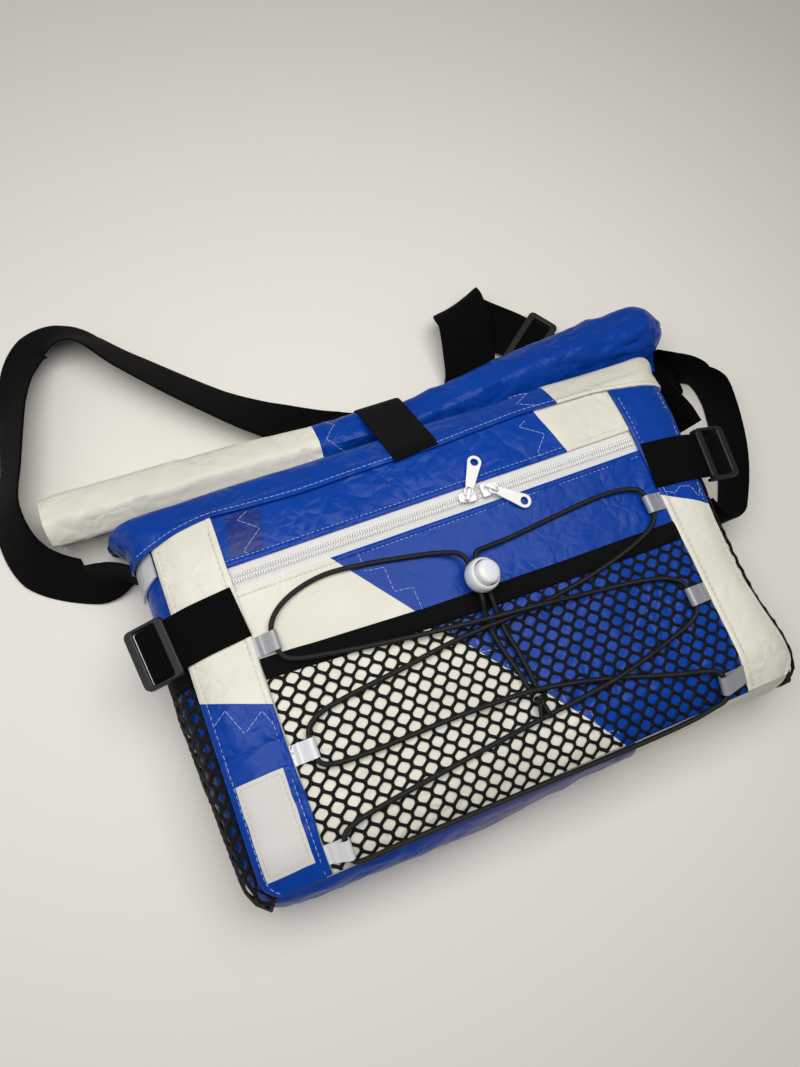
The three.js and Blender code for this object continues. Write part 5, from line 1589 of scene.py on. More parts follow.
class Pockets:
    """Net pockets on the front and on both sides, with their bindings."""

    HALF_WIDTH = 130.1
    BINDING = 12.0
    SIDE_FOOT = -105.0
    GATHER = 1.1
    SIDE_BINDING = 13.0
    SIDE_TAPE = 14.0
    NET_HEIGHT = 1.05
    # Rows of the gusset's section that the side nets cover, and how open they are beside the front net
    SIDE_ROWS = (0.03, 5.4)
    SIDE_OPEN = 0.76
    SIDE_LIFT = 1.2
    # Shares across a binding, and how high the front's stands there
    TAPE_SHARES = np.array((0.0, 0.02, 0.08, 0.3, 0.5, 0.7, 0.92, 0.98, 1.0))
    TAPE_CROWN = np.array((0.6, 1.5, 2.0, 2.2, 2.2, 2.2, 2.0, 1.5, 0.6))
    SIDE_CROWN = np.array((1.0, 1.9, 2.4, 2.6, 2.6, 2.6, 2.4, 1.9, 1.0))
    TAPE_FOOT = 0.35
    SIDE_TAPE_FOOT = 0.5

    def __init__(self, front: Front, gusset: Gusset) -> None:
        """Takes the cloth that the pockets are sewn to."""
        self.front = front
        self.gusset = gusset
        self._ripple = Ripple(47)

    def build(self, shop: Workshop) -> None:
        """Makes the nets and their bindings."""
        front = self.front
        top = lambda x: soft_read(POCKET_TOP, np.asarray(x, float), 20.0)
        place = lambda x, y, height: front.lay(x, y, self.NET_HEIGHT + height)
        lines = (lambda x: np.full_like(x, front.base_y + 0.8), lambda x: top(x) - self.BINDING + 0.3)
        net = NetMesh(53).draft((-self.HALF_WIDTH, self.HALF_WIDTH), lines, place)
        shop.publish("front_net_knit", net, KNIT, "net", ["front_net"], crease=70.0)
        x = steps(-self.HALF_WIDTH, self.HALF_WIDTH, 2.0)[:, None]
        share = self.TAPE_SHARES
        wave = 0.35 * self._ripple.at(x / 16, 0.5)
        y = top(x) - self.BINDING * (1 - share) + wave
        grid = front.lay(x + 0 * y, y, self.TAPE_CROWN + 0.2 * self._ripple.at(x / 9, share * 2))
        under = front.lay(x + 0 * y, y, self.TAPE_FOOT)
        uv = pairs(x, self.BINDING * share)
        shop.wall("front_net_binding_tape", (grid, under), uv, BINDING, "net", ["front_net_binding"])
        for side in Side:
            self._side(shop, side)

    def _side(self, shop: Workshop, side: Side) -> None:
        """Makes the net and the binding of one side."""
        gusset = self.gusset
        first, last = self.SIDE_ROWS

        def place(y: Array, v: Array, height: Array) -> Array:
            """Points over the side's gusset."""
            t = first + v / gusset.ROW_LENGTH
            run = gusset.side(side, y)
            slack = 1.6 + 1.0 * self._ripple.at(y / 19 + side.value, v / 15)
            slack = slack * np.clip((t - 0.1) / 0.8, 0.2, 1)
            found = []
            for k in range(len(y)):
                station = Run(*(column[k:k + 1] for column in run))
                found.append(gusset.points(station, t[k:k + 1], slack[k] + height[k])[0, 0])
            return np.array(found)

        width = (last - first) * gusset.ROW_LENGTH
        lines = (np.zeros_like, lambda y: np.full_like(y, width))
        stretch = (self.SIDE_FOOT, self.SIDE_BINDING)
        net = NetMesh(61 + side.value).draft(stretch, lines, place, self.SIDE_OPEN)
        name = side.word + "_net"
        t = np.linspace(first, last, 30)
        foot = gusset.points(gusset.side(side, np.array((self.SIDE_FOOT,))), t, self.SIDE_LIFT)[0]
        net.tube(foot, self.GATHER)
        shop.publish(name + "_knit", net, KNIT, "net", [name], crease=70.0)
        across = self.SIDE_TAPE * self.TAPE_SHARES
        run = gusset.side(side, self.SIDE_BINDING + across)
        grid = gusset.points(run, t, self.SIDE_CROWN[:, None] + 0.3 * self._ripple.at(t * 1.4, 0.5))
        under = gusset.points(run, t, self.SIDE_TAPE_FOOT)
        uv = pairs(t[None] * gusset.ROW_LENGTH, across[:, None])
        shop.wall(name + "_binding_tape", (grid, under), uv, BINDING, "net", [name + "_binding"])


# Collar rows: front Y, front Z, half width, back Y, back Z, roundness of the ends
COLLAR = (
    (97, 68.6, 180.5, 97, 0, 20), (104, 67, 185.5, 101, 0.2, 21), (111.5, 62.6, 190, 105, 1, 22),
    (118, 56.6, 193, 108, 2.6, 22), (119.5, 48, 194, 110, 4, 20), (115, 36, 195, 111, 4.8, 18),
    (114.4, 20, 196, 115, 6.4, 10), (119.7, 11, 198, 119.7, 7.8, 3),
)
# Lower edge of the hem at the front: X and Y
HEM_EDGE = (
    (-190, 89), (-176, 91), (-167.5, 93.4), (-150, 97.6), (-133.6, 100.2), (-108, 98.4), (-78.5, 97),
    (-47, 97.9), (11, 98.1), (68, 101.4), (123, 99.4), (157, 93.4), (175, 89.4), (190, 87.4),
)
# Roll: X, Y and Z of its middle, radius
ROLL = (
    (-224, 141, 27, 17.5), (-214, 141, 28, 18.5), (-150, 138, 28.5, 18.5), (-90, 135, 29, 18.5),
    (-52, 133.5, 29, 18), (-25, 132.5, 29, 18), (-4, 132, 28.5, 17), (22, 132.5, 29, 18),
    (60, 135, 30, 19.3), (110, 139.5, 31.5, 20.5), (155, 141.5, 33, 21.3), (185, 142.5, 34, 21),
    (200, 142, 34, 19), (207, 141, 33.5, 15.5),
)
# Closure strap over the roll: Y and Z
CLOSURE = (
    (98, 69.9), (103, 69), (110, 64.9), (118, 59.4), (126, 54.2), (134, 49.4), (141, 44.9), (147, 39.9),
    (150.6, 32), (150.8, 24), (147.6, 16.4), (142, 10.8), (134, 7.6), (126, 6), (118, 5.4),
)


class RollTop:
    """Collar at the mouth, its hem, the rolled top and the strap that ties it down."""

    SPLIT = 95.0
    ROLL_SPLIT = -52.0
    CLOTH = 1.2
    WALL = 2.8
    PITCH = 4.4
    TURNS = 1.5
    TAIL = (120.1, 9.4)
    HEM_HEIGHT = 2.9
    LAP_ROW = 5
    SHORTER = 7.0
    SEAM = 2.6
    STRAP_X = -3.0
    STRAP_SLANT = -0.07
    STRAP_RUN = 47.0
    ENDS = (-224.0, 207.0)

    def __init__(self, front: Front, stitcher: Stitcher) -> None:
        """Takes the shape of the front and the sewing."""
        self.front = front
        self.stitcher = stitcher
        self._ripple = Ripple(71)

    def build(self, shop: Workshop) -> None:
        """Makes every piece of the top."""
        for side, split, finish, word in (
            (Side.LEFT, self.SPLIT - 0.2, BLUE, "blue"),
            (Side.RIGHT, self.SPLIT, CREAM, "white"),
        ):
            self._collar(shop, side, split, finish, word)
        self._roll(shop, "white", CREAM, self.ENDS[0], self.ROLL_SPLIT)
        self._roll(shop, "blue", BLUE, self.ROLL_SPLIT + 0.3, self.ENDS[1])
        self._strap(shop)

    def _loop(self, row: Array, side: Side, split: float) -> Array:
        """One loop of the collar, from the split round one side to the back."""
        front_y, front_z, half, back_y, back_z, end = row
        flat_edge = half - end - (self.SHORTER if side is Side.RIGHT else 0.0)
        flat = np.linspace(split, side.value * flat_edge, 90 if side is Side.LEFT else 34)
        turn = np.linspace(math.pi / 2, -math.pi / 2, 25)
        middle, rise = (front_z + back_z) / 2, (front_z - back_z) / 2
        x = np.concatenate([flat[:-1], side.value * (flat_edge + end * np.cos(turn)), flat[-2::-1]])
        top, low = np.full(len(flat) - 1, front_z), np.full(len(flat) - 1, back_z)
        z = np.concatenate([top, middle + rise * np.sin(turn), low])
        y = back_y + (front_y - back_y) * (z - back_z) / (front_z - back_z)
        return np.stack([x, y, z], axis=1)

    def _collar(self, shop: Workshop, side: Side, split: float, finish: Finish, word: str) -> None:
        """Makes one colour of the collar with the hem that laps over the front."""
        rows = spline(COLLAR, 6)
        loops = np.stack([self._loop(row, side, split) for row in rows[self.LAP_ROW:]])
        first = loops[0]
        hem = first.copy()
        upper = fade((first[:, 2] - 8) / 40)
        hem[:, 1] = 95 + upper * (soft_read(HEM_EDGE, first[:, 0], 6.0) - 95)
        on_front = fade((first[:, 2] - 56) / 7)
        lying = self.front.z(first[:, 0], hem[:, 1]) + self.HEM_HEIGHT
        hem[:, 2] = first[:, 2] + on_front * (np.maximum(lying, first[:, 2] - 1) - first[:, 2])
        shares = np.array((0.0, 0.08, 0.25, 0.5, 0.75))[:, None, None]
        lap = hem + (first - hem) * shares
        grid = np.concatenate([lap, loops])
        cover = self.front.z(grid[..., 0], grid[..., 1]) + self.HEM_HEIGHT
        over = fade((grid[..., 2] - 56) / 7) * fade((106 - grid[..., 1]) / 5)
        grid[..., 2] += over * np.maximum(cover - grid[..., 2], 0)
        run = np.concatenate([np.zeros(len(lap)), np.arange(len(loops))])[:, None]
        along = distances(first)[None]
        loose = fade((run - 2) / 10) * fade((len(loops) - 1 - run) / 5)
        loose = loose * (0.3 + 0.7 * fade((178 - np.abs(first[None, :, 0])) / 24))
        dents = loose * (1.2 * self._ripple.crumple(along / 34 + side.value, run / 9, 3)
                         + 0.8 * self._ripple.at(along / 45, run / 12))
        across, down = np.gradient(grid, axis=1), np.gradient(grid, axis=0)
        normal = unit(np.cross(across, down)) * side.value
        grid = grid + normal * dents[..., None]
        name = "collar_" + word
        faces = (grid, grid - normal * self.CLOTH)
        shop.wall(name + "_cloth", faces, pairs(along, run * 1.2), finish, "sailcloth_" + word, [name])
        edge, above = grid[0], grid[len(lap)]
        seam = edge + unit(above - edge) * self.SEAM
        seam[:, 2] = np.maximum(seam[:, 2], self.front.z(seam[:, 0], seam[:, 1]) + self.HEM_HEIGHT) + 0.15
        seam = seam[(first[:, 2] > 60) & (np.arange(len(first)) < len(first) / 2)]
        self.stitcher.run(seam, PALE_THREAD if side is Side.LEFT else BEIGE_THREAD, 3.4, 0.8)
        if side is Side.LEFT:
            self._zigzag(grid[len(lap):], (0, 22), (84.0, 72.0), 4)

    def _zigzag(self, cloth: Array, rows: tuple[int, int], sides: tuple[float, float], count: int) -> None:
        """Sews a zigzag over cloth whose columns run along X.

        Args:
            cloth: Outer points of the cloth.
            rows: First and last row of the zigzag.
            sides: X of its two sides.
            count: Number of its strokes.
        """
        ends = np.linspace(*rows, count + 1).round().astype(int)
        for k in range(count):
            at = np.arange(ends[k], ends[k + 1] + 1)
            x = np.linspace(sides[k % 2], sides[1 - k % 2], len(at))
            column = [int(np.argmin(np.abs(cloth[row, :80, 0] - place))) for row, place in zip(at, x)]
            line = cloth[at, column]
            line[:, 0] = x
            self.stitcher.run(line + np.array((0, 0, 0.15)), PALE_THREAD, 3.4, 0.85)

    def _roll(self, shop: Workshop, word: str, finish: Finish, start: float, end: float) -> None:
        """Makes one colour of the roll."""
        table = np.array(ROLL)
        x = steps(start, end, 2.4)
        y, z, radius = (
            sum(np.interp(x + shift, table[:, 0], table[:, k]) for shift in (-7, 0, 7)) / 3
            for k in (1, 2, 3)
        )
        closing = np.clip((x - 186) / 21, 0, 1)
        radius = radius * np.sqrt(1 - (0.9 * closing) ** 2)
        turned = np.arange(0, self.TURNS * 360 + 1, 7.5)
        angle = np.radians(turned - 90)[None]
        crumpled = 0.75 + 0.5 * fade((x + 50) / 20) + 1.6 * fade((x - 110) / 60)
        crumpled = crumpled + 1.3 * np.exp(-((x + 12) / 30) ** 2)
        facets = 1 + (self._facets(angle, x[:, None]) - 1) * (1 - closing[:, None])
        around = np.cos(angle) * 1.7 + np.sin(angle) * 1.2 + 5
        noise = 1.7 * self._ripple.crumple(x[:, None] / 25 + angle * 0.5, around, 3)
        slow = 0.5 * self._ripple.at(x[:, None] / 48, angle * 0.8 + 3)
        reach = (radius[:, None] - self.WALL / 2) * facets + crumpled[:, None] * (noise + slow)
        reach = reach - self.PITCH * turned / 360 * (1 - 0.5 * closing[:, None])
        flat = 1 - 0.12 * fade((-165 - x) / 40)[:, None]
        line_y = y[:, None] + reach * np.cos(angle)
        line_z = z[:, None] + reach * np.sin(angle) * flat
        tail = np.linspace(0, 1, 7)[None, :-1]
        foot_y, foot_z = line_y[:, :1], line_z[:, :1]
        start_y = self.TAIL[0] + 11 * fade((-186 - x) / 20)[:, None]
        tail_y = start_y + (foot_y - start_y) * tail
        tail_z = self.TAIL[1] + (foot_z - self.TAIL[1]) * fade(tail)
        grid = np.stack([
            np.broadcast_to(x[:, None], (len(x), tail.size + turned.size)),
            np.concatenate([tail_y, line_y], axis=1),
            np.concatenate([tail_z, line_z], axis=1),
        ], axis=-1)
        normal = unit(np.cross(np.gradient(grid, axis=1), np.gradient(grid, axis=0)))
        uv = pairs(x[:, None], np.arange(grid.shape[1])[None] * 2.2)
        faces = (grid - normal * self.WALL / 2, grid + normal * self.WALL / 2)
        name = "roll_" + word
        shop.wall(name + "_cloth", faces, uv, finish, "sailcloth_" + word, [name])
        if finish is BLUE:
            face = np.swapaxes(grid + normal * self.WALL / 2, 0, 1)[tail.size:]
            self._zigzag(face, (14, 34), (-47.0, -38.0), 4)

    def _facets(self, angle: Array, x: Array) -> Array:
        """How the roll is flattened into facets that wander slowly along it."""
        corners = 5
        sector = 2 * math.pi / corners
        twist = 0.5 + 0.35 * self._ripple.at(x / 90, 2.5)
        local = (angle - twist) % sector - sector / 2
        return (math.cos(sector / 2) / np.cos(local)) ** 0.55 * 1.035

    def _strap(self, shop: Workshop) -> None:
        """Makes the strap over the roll."""
        rows = []
        for y, z in CLOSURE:
            run = min(y - CLOSURE[0][0], self.STRAP_RUN)
            rows.append((self.STRAP_X + self.STRAP_SLANT * run, y, z))
        line = spline(rows, 6)
        draft = MeshDraft()
        across = np.broadcast_to((1.0, 0.0, 0.0), line.shape)
        Ribbon().lay(draft, line, across)
        fold = line[:14] + np.array((0, 0, -1.2)) + (line[1] - line[0]) * 0.4
        Ribbon(width=29.2, thick=1.0).lay(draft, fold, across[:14])
        shop.publish("closure_strap_web", draft, RIBBED_WEB, "webbing", ["closure_strap"])


# Side tab: how far out and how high
TAB = (
    (131, 72.7), (152.5, 72.7), (158.5, 71.7), (163.5, 70), (168.5, 68.1), (175, 66.2), (182, 64.2),
    (187, 62.8), (188.2, 61.5), (188.1, 60), (187.1, 58.7), (185.3, 58.4), (176, 60.9),
)


@dataclass(frozen=True)
class Triglide:
    """Three-bar slide that webbing runs through."""

    half: float = 11.5
    width: float = 17.6
    slot: float = 15.6
    rail: float = 4.6
    top: float = 3.2
    foot: float = -3.0
    lift: float = 1.0
    corner: float = 3.2
    slot_corner: float = 1.6
    bow: float = 1.3
    bevel: float = 0.7
    bar_level: float = -2.0
    bar_radius: float = 1.0

    def draft(self, matrix: Matrix) -> MeshDraft:
        """Draws the slide.

        Args:
            matrix: Place of the slide, with its X along the webbing.

        Returns:
            Mesh of the slide.
        """
        draft = MeshDraft()
        outer = Plate.round_box(self.half, self.width, self.corner)
        outer[:, 0] += self.bow * np.sign(outer[:, 0]) * (1 - (outer[:, 1] / self.width) ** 2)
        inner = Plate.round_box(self.half - self.rail, self.slot, self.slot_corner)
        level = (self.top + self.lift) / 2
        rim = Plate.cut([outer, inner[::-1]], self.top - self.lift, self.bevel)
        draft.plate(rim, matrix @ Matrix.Translation((0, 0, level)))
        wall = (self.width - self.slot) / 2
        outline = Plate.round_box(self.half - 1.0, wall, 0.7 * wall)
        cheek = Plate.cut([outline], self.lift - self.foot + 0.6, 0.4 * wall)
        for sign in (-1, 1):
            at = Matrix.Translation((0, sign * (self.width + self.slot) / 2, (self.foot + self.lift) / 2))
            draft.plate(cheek, matrix @ at)
        bar = np.linspace(-self.slot - 1.0, self.slot + 1.0, 12)[:, None] * np.array((0.0, 1.0, 0.0))
        draft.tube(placed(bar + UP * self.bar_level, matrix), self.bar_radius, 12)
        return draft


class SideTabs:
    """Webbing tabs on the edge strips with their slides, and the short end at the right."""

    LEVEL = 41.0
    PIVOT = 141.0
    TURN = 0.1
    SLIDE_ROW = 6
    # Short end of webbing at the right: X, Y, Z, the way its right-hand edge faces and how far it stands up
    ANCHOR = (
        (179.5, 96.2, 43, -166, -82), (182, 84, 42.5, -165, -78), (185, 74, 42, -166, -75),
        (187, 63, 41, -168, -75),
    )

    def build(self, shop: Workshop) -> None:
        """Makes both tabs, their slides and the short end."""
        for side in Side:
            pivot = Matrix.Translation((side.value * self.PIVOT, self.LEVEL, 0))
            turn = pivot @ Matrix.Rotation(-side.value * self.TURN, 4, "Z")
            rows = np.array([(side.value * (out - self.PIVOT), 0, z) for out, z in TAB])
            line = placed(spline(rows, 6), turn)
            draft = MeshDraft()
            Ribbon().lay(draft, line, np.broadcast_to(turn.col[1][:3], line.shape))
            shop.publish(side.word + "_tab_web", draft, WEB, "webbing", [side.word + "_tab"])
            before, at, after = (TAB[self.SLIDE_ROW + k] for k in (-1, 0, 1))
            slope = math.atan2(before[1] - after[1], after[0] - before[0])
            place = turn @ Matrix.Translation((side.value * (at[0] - self.PIVOT), 0, at[1]))
            place = place @ Matrix.Rotation(side.value * slope, 4, "Y")
            name = side.word + "_triglide"
            slide = Triglide().draft(place)
            shop.publish(name + "_moulded", slide, BUCKLE, "buckle_plastic", [name], crease=50.0)
        line, across = strap_line(self.ANCHOR, 6)
        draft = MeshDraft()
        Ribbon().lay(draft, line, across)
        shop.publish("right_anchor_web", draft, WEB, "webbing", ["right_anchor"])


def strap_line(table: Sequence[Sequence[float]], count: int) -> tuple[Array, Array]:
    """Line of a strap and the way across it.

    Args:
        table: X, Y, Z, the way the right-hand edge faces and how far it stands up, in degrees.
        count: Steps between two rows.

    Returns:
        Points of the line, and the way across at each.
    """
    table = np.asarray(table, float)
    line = spline(table[:, :3], count)
    at = np.linspace(0, len(table) - 1, len(line))
    turn, tilt = (np.radians(np.interp(at, np.arange(len(table)), column)) for column in table[:, 3:].T)
    return line, np.stack([np.cos(turn) * np.cos(tilt), np.sin(turn) * np.cos(tilt), np.sin(tilt)], axis=1)


class ShoulderStrap:
    """Shoulder strap as it lies round the bag, with its slide."""

    # X, Y, Z, the way the right-hand edge faces and how far it stands up
    ROUTE = (
        (-181.9, 92.5, 28, 64, 85), (-194, 98.5, 25, 65, 82), (-211.5, 101.5, 16.6, 52, 57),
        (-241.3, 124, 14.2, 33, 44), (-248, 158, 16, 4, 50), (-238, 191, 16.5, -16, 53),
        (-228, 228, 15.5, -19, 48), (-219.5, 254, 12, -42, 36), (-206, 272, 9.5, -62, 27),
        (-188.8, 274, 13, -74, 39), (-172, 266, 16, -92, 51), (-149.7, 241.3, 15.4, -117, 49),
        (-103.4, 195.2, 13.5, -129, 41), (-75.9, 174, 11, -128, 30), (-33.6, 149.5, 3.6, -116, 2),
        (3, 137.5, 3.2, -103, 0), (60, 140.5, 3.2, -50, 0), (72, 156, 8, -14, 0), (77, 178, 18, -6, 0),
        (79.7, 198.5, 25.8, -4, 2), (80.4, 208.9, 22.8, 6, 14), (83.1, 213.4, 15, 16, 22),
        (88, 211.6, 7.2, 28, 12), (94.5, 206, 4.2, 35, 0), (117, 184.5, 4.6, 36, 0),
        (127.5, 172.3, 4.6, 38, 0), (138, 158.5, 4.6, 38, 0), (153, 145.5, 3.4, 46, 0),
        (184, 130, 3.2, 58, 0), (201, 119.8, 3.2, 64, 0), (212, 115, 11.2, 66, 38),
        (218.5, 112.3, 18.8, 64, 82), (231, 103, 19.6, 45, 100), (236.5, 91, 19.6, 14, 90),
        (234, 70, 19.5, -10, 88), (224, 36, 19.5, -20, 88), (209, 9, 20, -38, 88), (198, -2, 22, -60, 88),
        (187, -2, 24, -110, 88), (179.4, 14.4, 26, -155, 88),
    )
    SLIDE_ROW = 25
    WIDTH = 38.0
    GLIDE = Triglide(width=24.0, slot=20.4)

    def build(self, shop: Workshop) -> None:
        """Makes the strap and its slide, and says how long the strap is."""
        line, across = strap_line(self.ROUTE, 10)
        draft = MeshDraft()
        Ribbon(width=self.WIDTH).lay(draft, line, across)
        strap = shop.publish("shoulder_strap_web", draft, FINE_WEB, "webbing", ["shoulder_strap"])
        at, after = np.array(self.ROUTE[self.SLIDE_ROW]), np.array(self.ROUTE[self.SLIDE_ROW + 1])
        place = Matrix.Translation(at[:3]) @ Matrix.Rotation(math.atan2(*(after - at)[1::-1]), 4, "Z")
        name = "shoulder_slider"
        glide = self.GLIDE.draft(place)
        slide = shop.publish(name + "_moulded", glide, BUCKLE, "buckle_plastic", [name], crease=50.0)
        length = float(distances(line)[-1])
        log.info("shoulder strap: %.0f mm", length)


# Route of the cord from its tail through the lock, round the loops and back: X, Y and height over the front
CORD_ROUTE = (
    (4.4, -59, 3.4), (2.6, -46, 3.4), (-0.6, -32, 3.4), (-3, -20, 3.4), (-3.4, -12, 3.5), (-3.2, -6, 5.2),
    (-2.4, 1, 9), (-2.4, 13, 9), (-2.4, 25, 9), (-5, 30, 7.4), (-14, 34.5, 4), (-30, 38.5, 2.3),
    (-58, 43.5, 2.2), (-83, 45.5, 2.2), (-104, 40.5, 2.8), (-115, 33, 4), (-119, 26, 4.5),
    (-119, 20, 4.5), (-119, 14, 4.5), (-116.5, 9, 4.5), (-110, 6, 4.4), (-98, 3.5, 4.3), (-66, -2, 4.4),
    (-28, -7.6, 6.6), (-4, -10.8, 10.2), (14, -12.8, 10.4), (30, -14.4, 9.8), (50, -16.6, 6),
    (68, -18.6, 3.6), (96, -22.6, 3.5), (111, -27, 3.9), (117, -32.5, 4.4), (118, -38, 4.5),
    (118, -45, 4.5), (116.6, -50.5, 4.4), (110, -55, 3.8), (94, -59.6, 3.6), (74, -64, 5.2),
    (54, -67.6, 6.9), (32, -70.2, 5), (4, -72.4, 3.5), (-48, -77, 3.5), (-92, -81.4, 3.6),
    (-110, -84, 4.2), (-117, -86.6, 5.1), (-119, -89.5, 5.5), (-119, -95, 4.9), (-119, -100.5, 5.5),
    (-116.4, -103, 5.2), (-109, -104, 4.3), (-94, -104, 3.9), (-42, -104.8, 3.6), (8, -106, 3.1),
    (56, -107, 2.8), (92, -106.4, 3.2), (104, -104.8, 4.2), (111.6, -103.4, 5.1), (114, -100.8, 5.5),
    (114, -95, 4.9), (114, -89.3, 5.5), (111.6, -86, 5), (104, -83, 4.2), (88, -78.6, 3.5),
    (54, -67.6, 3.4), (30, -61.4, 5.2), (10, -57.4, 6.9), (-2, -56, 6.8), (-20, -54.8, 5),
    (-44, -54, 3.5), (-88, -54, 3.5), (-108, -53, 4), (-116.4, -50.4, 4.4), (-119, -46, 4.5),
    (-119, -36, 4.5), (-116.4, -29.6, 4.4), (-108, -25, 3.8), (-94, -22.6, 3.5), (-60, -19.2, 3.5),
    (-30, -15.8, 4.4), (-8, -14.6, 6.8), (8, -14.4, 6.9), (28, -13.4, 5.6), (50, -11, 3.7), (78, -6, 4),
    (102, 0.6, 4.3), (114, 6, 4.4), (118.4, 11, 4.5), (119, 15, 4.5), (119, 24, 4.5), (116.6, 29.6, 4.2),
    (109, 33, 2.9), (92, 34.4, 2.2), (62, 32.4, 2.2), (30, 29.4, 2.6), (14, 28.6, 4.4), (6, 27.6, 6.4),
    (3.6, 24, 6.8), (3.6, 13, 6.8), (3.6, 1, 6.8), (3.8, -6, 5), (4, -12, 3.5), (4.4, -20, 3.4),
    (6.4, -32, 3.4), (8, -46, 3.4), (8.4, -59, 3.4),
)


class Loop(NamedTuple):
    """A loop of tape: its name, where the cord runs through it, and its finish."""

    name: str
    x: float
    y: float
    finish: Finish


class Lacing:
    """Loops of tape, the cord laced through them, its knot and the cord lock."""

    LOOPS = (
        Loop("left_1", -119, 20, SILVER),
        Loop("left_2", -119, -41, BRIGHT),
        Loop("left_3", -119, -95, BRIGHT),
        Loop("right_1", 119, 19, SILVER),
        Loop("right_2", 118, -41.5, SILVER),
        Loop("right_3", 114, -95, SILVER),
    )
    RADIUS = 1.5
    TAPE = 0.6
    BORE = 2.3
    LOOP_WIDTH = 11.0
    SEAT = 1.9
    BASE_SLOPE = math.atan(0.385)
    KNOT = (6.4, -63.2, 75.3)
    KNOT_RADIUS = 1.25
    TAIL_RADIUS = 1.35
    LOCK = (-0.5, 13.0, 74.9)
    LOCK_TILT = 20.0

    def __init__(self, front: Front) -> None:
        """Takes the shape of the front."""
        self.front = front

    def build(self, shop: Workshop) -> None:
        """Makes every piece of the lacing."""
        for loop in self.LOOPS:
            self._loop(shop, loop)
        line = spline(CORD_ROUTE, 9)
        line[:, 2] += self.front.flat(0 * line[:, 0], line[:, 1]) + self.front.drape(line[:, 0], line[:, 1])
        draft = MeshDraft()
        draft.tube(line, self.RADIUS, 12)
        shop.publish("bungee_cord_braid", draft, BUNGEE, "bungee", ["bungee_cord"])
        self._knot(shop)
        self._lock(shop)

    def _loop(self, shop: Workshop, loop: Loop) -> None:
        """Makes one loop: tape from under the strip, round the cord and back."""
        side = math.copysign(1.0, loop.x)
        reach = self.front.strip_edge - abs(loop.x)
        turn = np.radians(np.linspace(-90, 84, 12))
        drop = -self.BORE
        under = [(0.0, drop - 1.6), (2.0, drop - 1.3), (4.0, drop - 0.1), (reach - 2.0, drop)]
        over = [(5.2, drop + 1.0), (4.0, drop + 0.8), (2.0, drop - 0.6), (0.0, drop - 0.9)]
        bend = [(reach + self.BORE * math.cos(a), self.BORE * math.sin(a)) for a in turn]
        path = np.array([*under, *bend, *over])
        path = spline(np.pad(path, ((0, 0), (0, 1))), 3)[:, :2]
        along = unit(np.gradient(path, axis=0))
        normal = np.stack([along[:, 1], -along[:, 0]], axis=1)
        on_base = loop.y < self.front.base_y + 21
        lift = self.SEAT + self.BORE + 0.3 + (0.25 if on_base else 0.0)
        origin = np.array((side * self.front.strip_edge, loop.y, float(self.front.flat(0, loop.y)) + lift))
        slope = self.BASE_SLOPE if on_base else 0.0
        width = np.array((-0.5, -0.49, -0.25, 0.0, 0.25, 0.49, 0.5)) * self.LOOP_WIDTH
        grids = []
        for half in (self.TAPE / 2, -self.TAPE / 2):
            flat = path + normal * half
            x = origin[0] - side * flat[:, 0][:, None] + 0 * width
            y = origin[1] + width * math.cos(slope) - flat[:, 1][:, None] * math.sin(slope)
            z = origin[2] + width * math.sin(slope) + flat[:, 1][:, None] * math.cos(slope)
            grids.append(np.stack([x, y, z], axis=-1))
        name = "cord_loop_" + loop.name
        shop.wall(name + "_tape", tuple(grids), None, loop.finish, "reflective_tape", [name])

    def _knot(self, shop: Workshop) -> None:
        """Makes the knot at the cord's ends, with its two short tails."""
        t = np.linspace(0, 2 * math.pi, 60)
        x, y = np.sin(t) + 1.7 * np.sin(2 * t), np.cos(t) - 1.7 * np.cos(2 * t)
        plan = np.stack([x, y, -0.9 * np.sin(3 * t)], axis=1)
        centre = np.array(self.KNOT)
        draft = MeshDraft()
        draft.tube(centre + plan * np.array((0.85, 1.05, 1.0)), self.KNOT_RADIUS, 10)
        for end in ((-2.6, -9.5, -1.2), (2.4, -10.5, -1.4)):
            tail = spline([(0, 1, 0), (end[0] * 0.7, -4.5, 0.2), end], 8)
            draft.tube(centre + tail, self.TAIL_RADIUS, 10)
        shop.publish("bungee_knot_braid", draft, BUNGEE, "bungee", ["bungee_knot"])

    def _lock(self, shop: Workshop) -> None:
        """Makes the round body of the lock and its button."""
        place = Matrix.Translation(self.LOCK) @ Matrix.Rotation(math.radians(self.LOCK_TILT), 4, "Y")
        body = (
            (0.1, 0.0), (5.6, 0.0), (7.2, 0.5), (8.6, 1.7), (9.5, 3.4), (9.95, 5.4), (10.0, 7.6),
            (9.9, 9.4), (9.6, 10.8), (9.1, 11.7), (8.6, 12.1), (8.2, 12.0), (8.0, 11.5), (8.0, 6.2),
            (0.1, 6.2),
        )
        button = (
            (0.1, 9.5), (6.9, 9.5), (7.25, 9.8), (7.3, 13.6), (7.1, 14.8), (6.5, 15.7), (5.4, 16.3),
            (3.4, 16.7), (0.1, 16.8),
        )
        for name, profile, owner in (
            ("cord_lock_body", body, Body.BAG),
            ("cord_lock_button", button, Body.BUTTON),
        ):
            rows = np.array(profile)
            angle = np.linspace(0, 2 * math.pi, 56, endpoint=False)
            x, y = rows[:, :1] * np.cos(angle), rows[:, :1] * np.sin(angle)
            rings = np.stack([x, y, np.broadcast_to(rows[:, 1:], x.shape)], axis=-1)
            draft = MeshDraft()
            draft.loops(placed(rings.reshape(-1, 3), place).reshape(rings.shape))
            shop.publish(name + "_moulded", draft, LOCK, "lock_plastic", [name], owner, 45.0)


class Light(NamedTuple):
    """An area light: its name, place, aim, size and power."""

    name: str
    at: tuple[float, float, float]
    aim: tuple[float, float, float]
    size: tuple[float, float]
    power: float


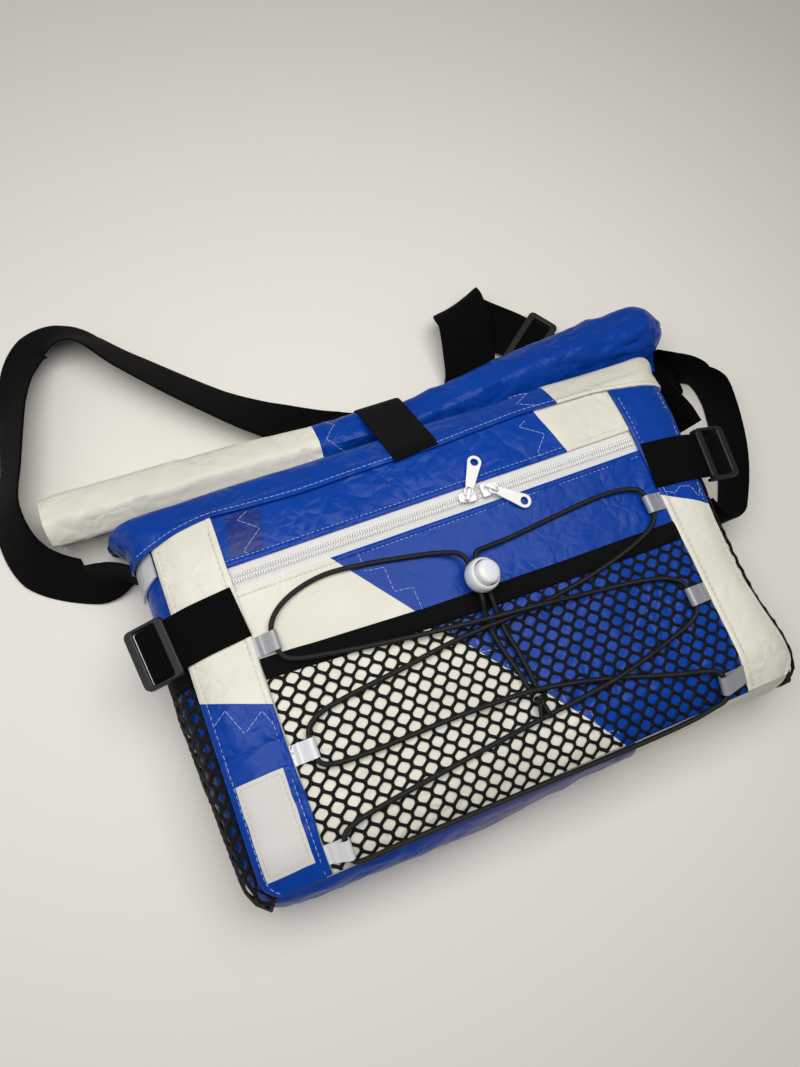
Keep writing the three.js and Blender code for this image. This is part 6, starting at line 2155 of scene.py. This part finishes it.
class Stage:
    """Floor, light and camera of the photo."""

    CAMERA_AT = (-120.934, -39.884, 493.326)
    CAMERA_RIGHT = (0.92412307, -0.36419578, 0.11557675)
    CAMERA_UP = (0.3235589, 0.90678356, 0.27028359)
    CAMERA_BACK = (-0.20323924, -0.21237942, 0.95581839)
    LENS = 25.556
    SENSOR = 36.0
    FLOOR_HALF = 3000
    FLOOR_Z = -0.4
    LIGHTS = (
        Light("ceiling", (-0.05, 0.1, 0.68), (-0.05, 0.06, 0.0), (0.75, 0.45), 4.3),
        Light("window", (-0.9, 0.3, 0.9), (0.0, 0.0, 0.03), (0.8, 0.8), 1.6),
    )
    LAMP_COLOUR = (1.0, 0.98, 0.945)
    AMBIENT = (0.98, 0.98, 1.0)
    AMBIENT_STRENGTH = 0.18

    def build(self, shop: Workshop) -> None:
        """Sets everything up."""
        draft = MeshDraft()
        span = np.linspace(-self.FLOOR_HALF, self.FLOOR_HALF, 3)
        x, y = np.meshgrid(span, span)
        draft.add(np.stack([x, y, 0 * x + self.FLOOR_Z], axis=-1), MeshDraft.quads(3, 3))
        draft.build("floor", shop.material(FLOOR), 30.0)
        for light in self.LIGHTS:
            self._light(light)
        world = bpy.data.worlds.new("room")
        bpy.context.scene.world = world
        world.use_nodes = True
        sky = world.node_tree.nodes["Background"]
        sky.inputs["Color"].default_value = (*self.AMBIENT, 1.0)
        sky.inputs["Strength"].default_value = self.AMBIENT_STRENGTH
        camera = bpy.data.objects.new("camera", bpy.data.cameras.new("camera"))
        camera.data.lens = self.LENS
        camera.data.sensor_width = self.SENSOR
        camera.data.clip_start = 0.01
        axes = (self.CAMERA_RIGHT, self.CAMERA_UP, self.CAMERA_BACK, Vector(self.CAMERA_AT) * MM)
        camera.matrix_world = Matrix([(*axis, 0.0) for axis in axes[:3]] + [(*axes[3], 1.0)]).transposed()
        bpy.context.scene.collection.objects.link(camera)
        bpy.context.scene.camera = camera
        bpy.context.scene.view_settings.view_transform = "Standard"

    def _light(self, light: Light) -> None:
        """Hangs one area light."""
        lamp = bpy.data.lights.new(light.name, "AREA")
        lamp.shape = "RECTANGLE"
        lamp.size, lamp.size_y = light.size
        lamp.energy = light.power
        lamp.color = self.LAMP_COLOUR
        holder = bpy.data.objects.new(light.name, lamp)
        holder.location = light.at
        holder.rotation_mode = "QUATERNION"
        holder.rotation_quaternion = (Vector(light.aim) - Vector(light.at)).to_track_quat("-Z", "Y")
        bpy.context.scene.collection.objects.link(holder)


class BagScene:
    """The whole bag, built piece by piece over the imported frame."""

    def build(self) -> None:
        """Builds every sub-assembly and the stage, then updates the view layer."""
        shop = Workshop()
        front = Front()
        stitcher = Stitcher()
        gusset = Gusset(front)
        gusset.build(shop)
        FrontPanels(front, stitcher).build(shop)
        Zip(front, stitcher).build(shop)
        Pockets(front, gusset).build(shop)
        RollTop(front, stitcher).build(shop)
        SideTabs().build(shop)
        Lacing(front).build(shop)
        ShoulderStrap().build(shop)
        stitcher.publish(shop)
        Stage().build(shop)
        self._note_size()

    @staticmethod
    def _note_size() -> None:
        """Updates the view layer."""
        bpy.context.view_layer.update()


if __name__ == "__main__":
    logging.basicConfig(level=logging.INFO, format="%(name)s: %(message)s")
    BagScene().build()
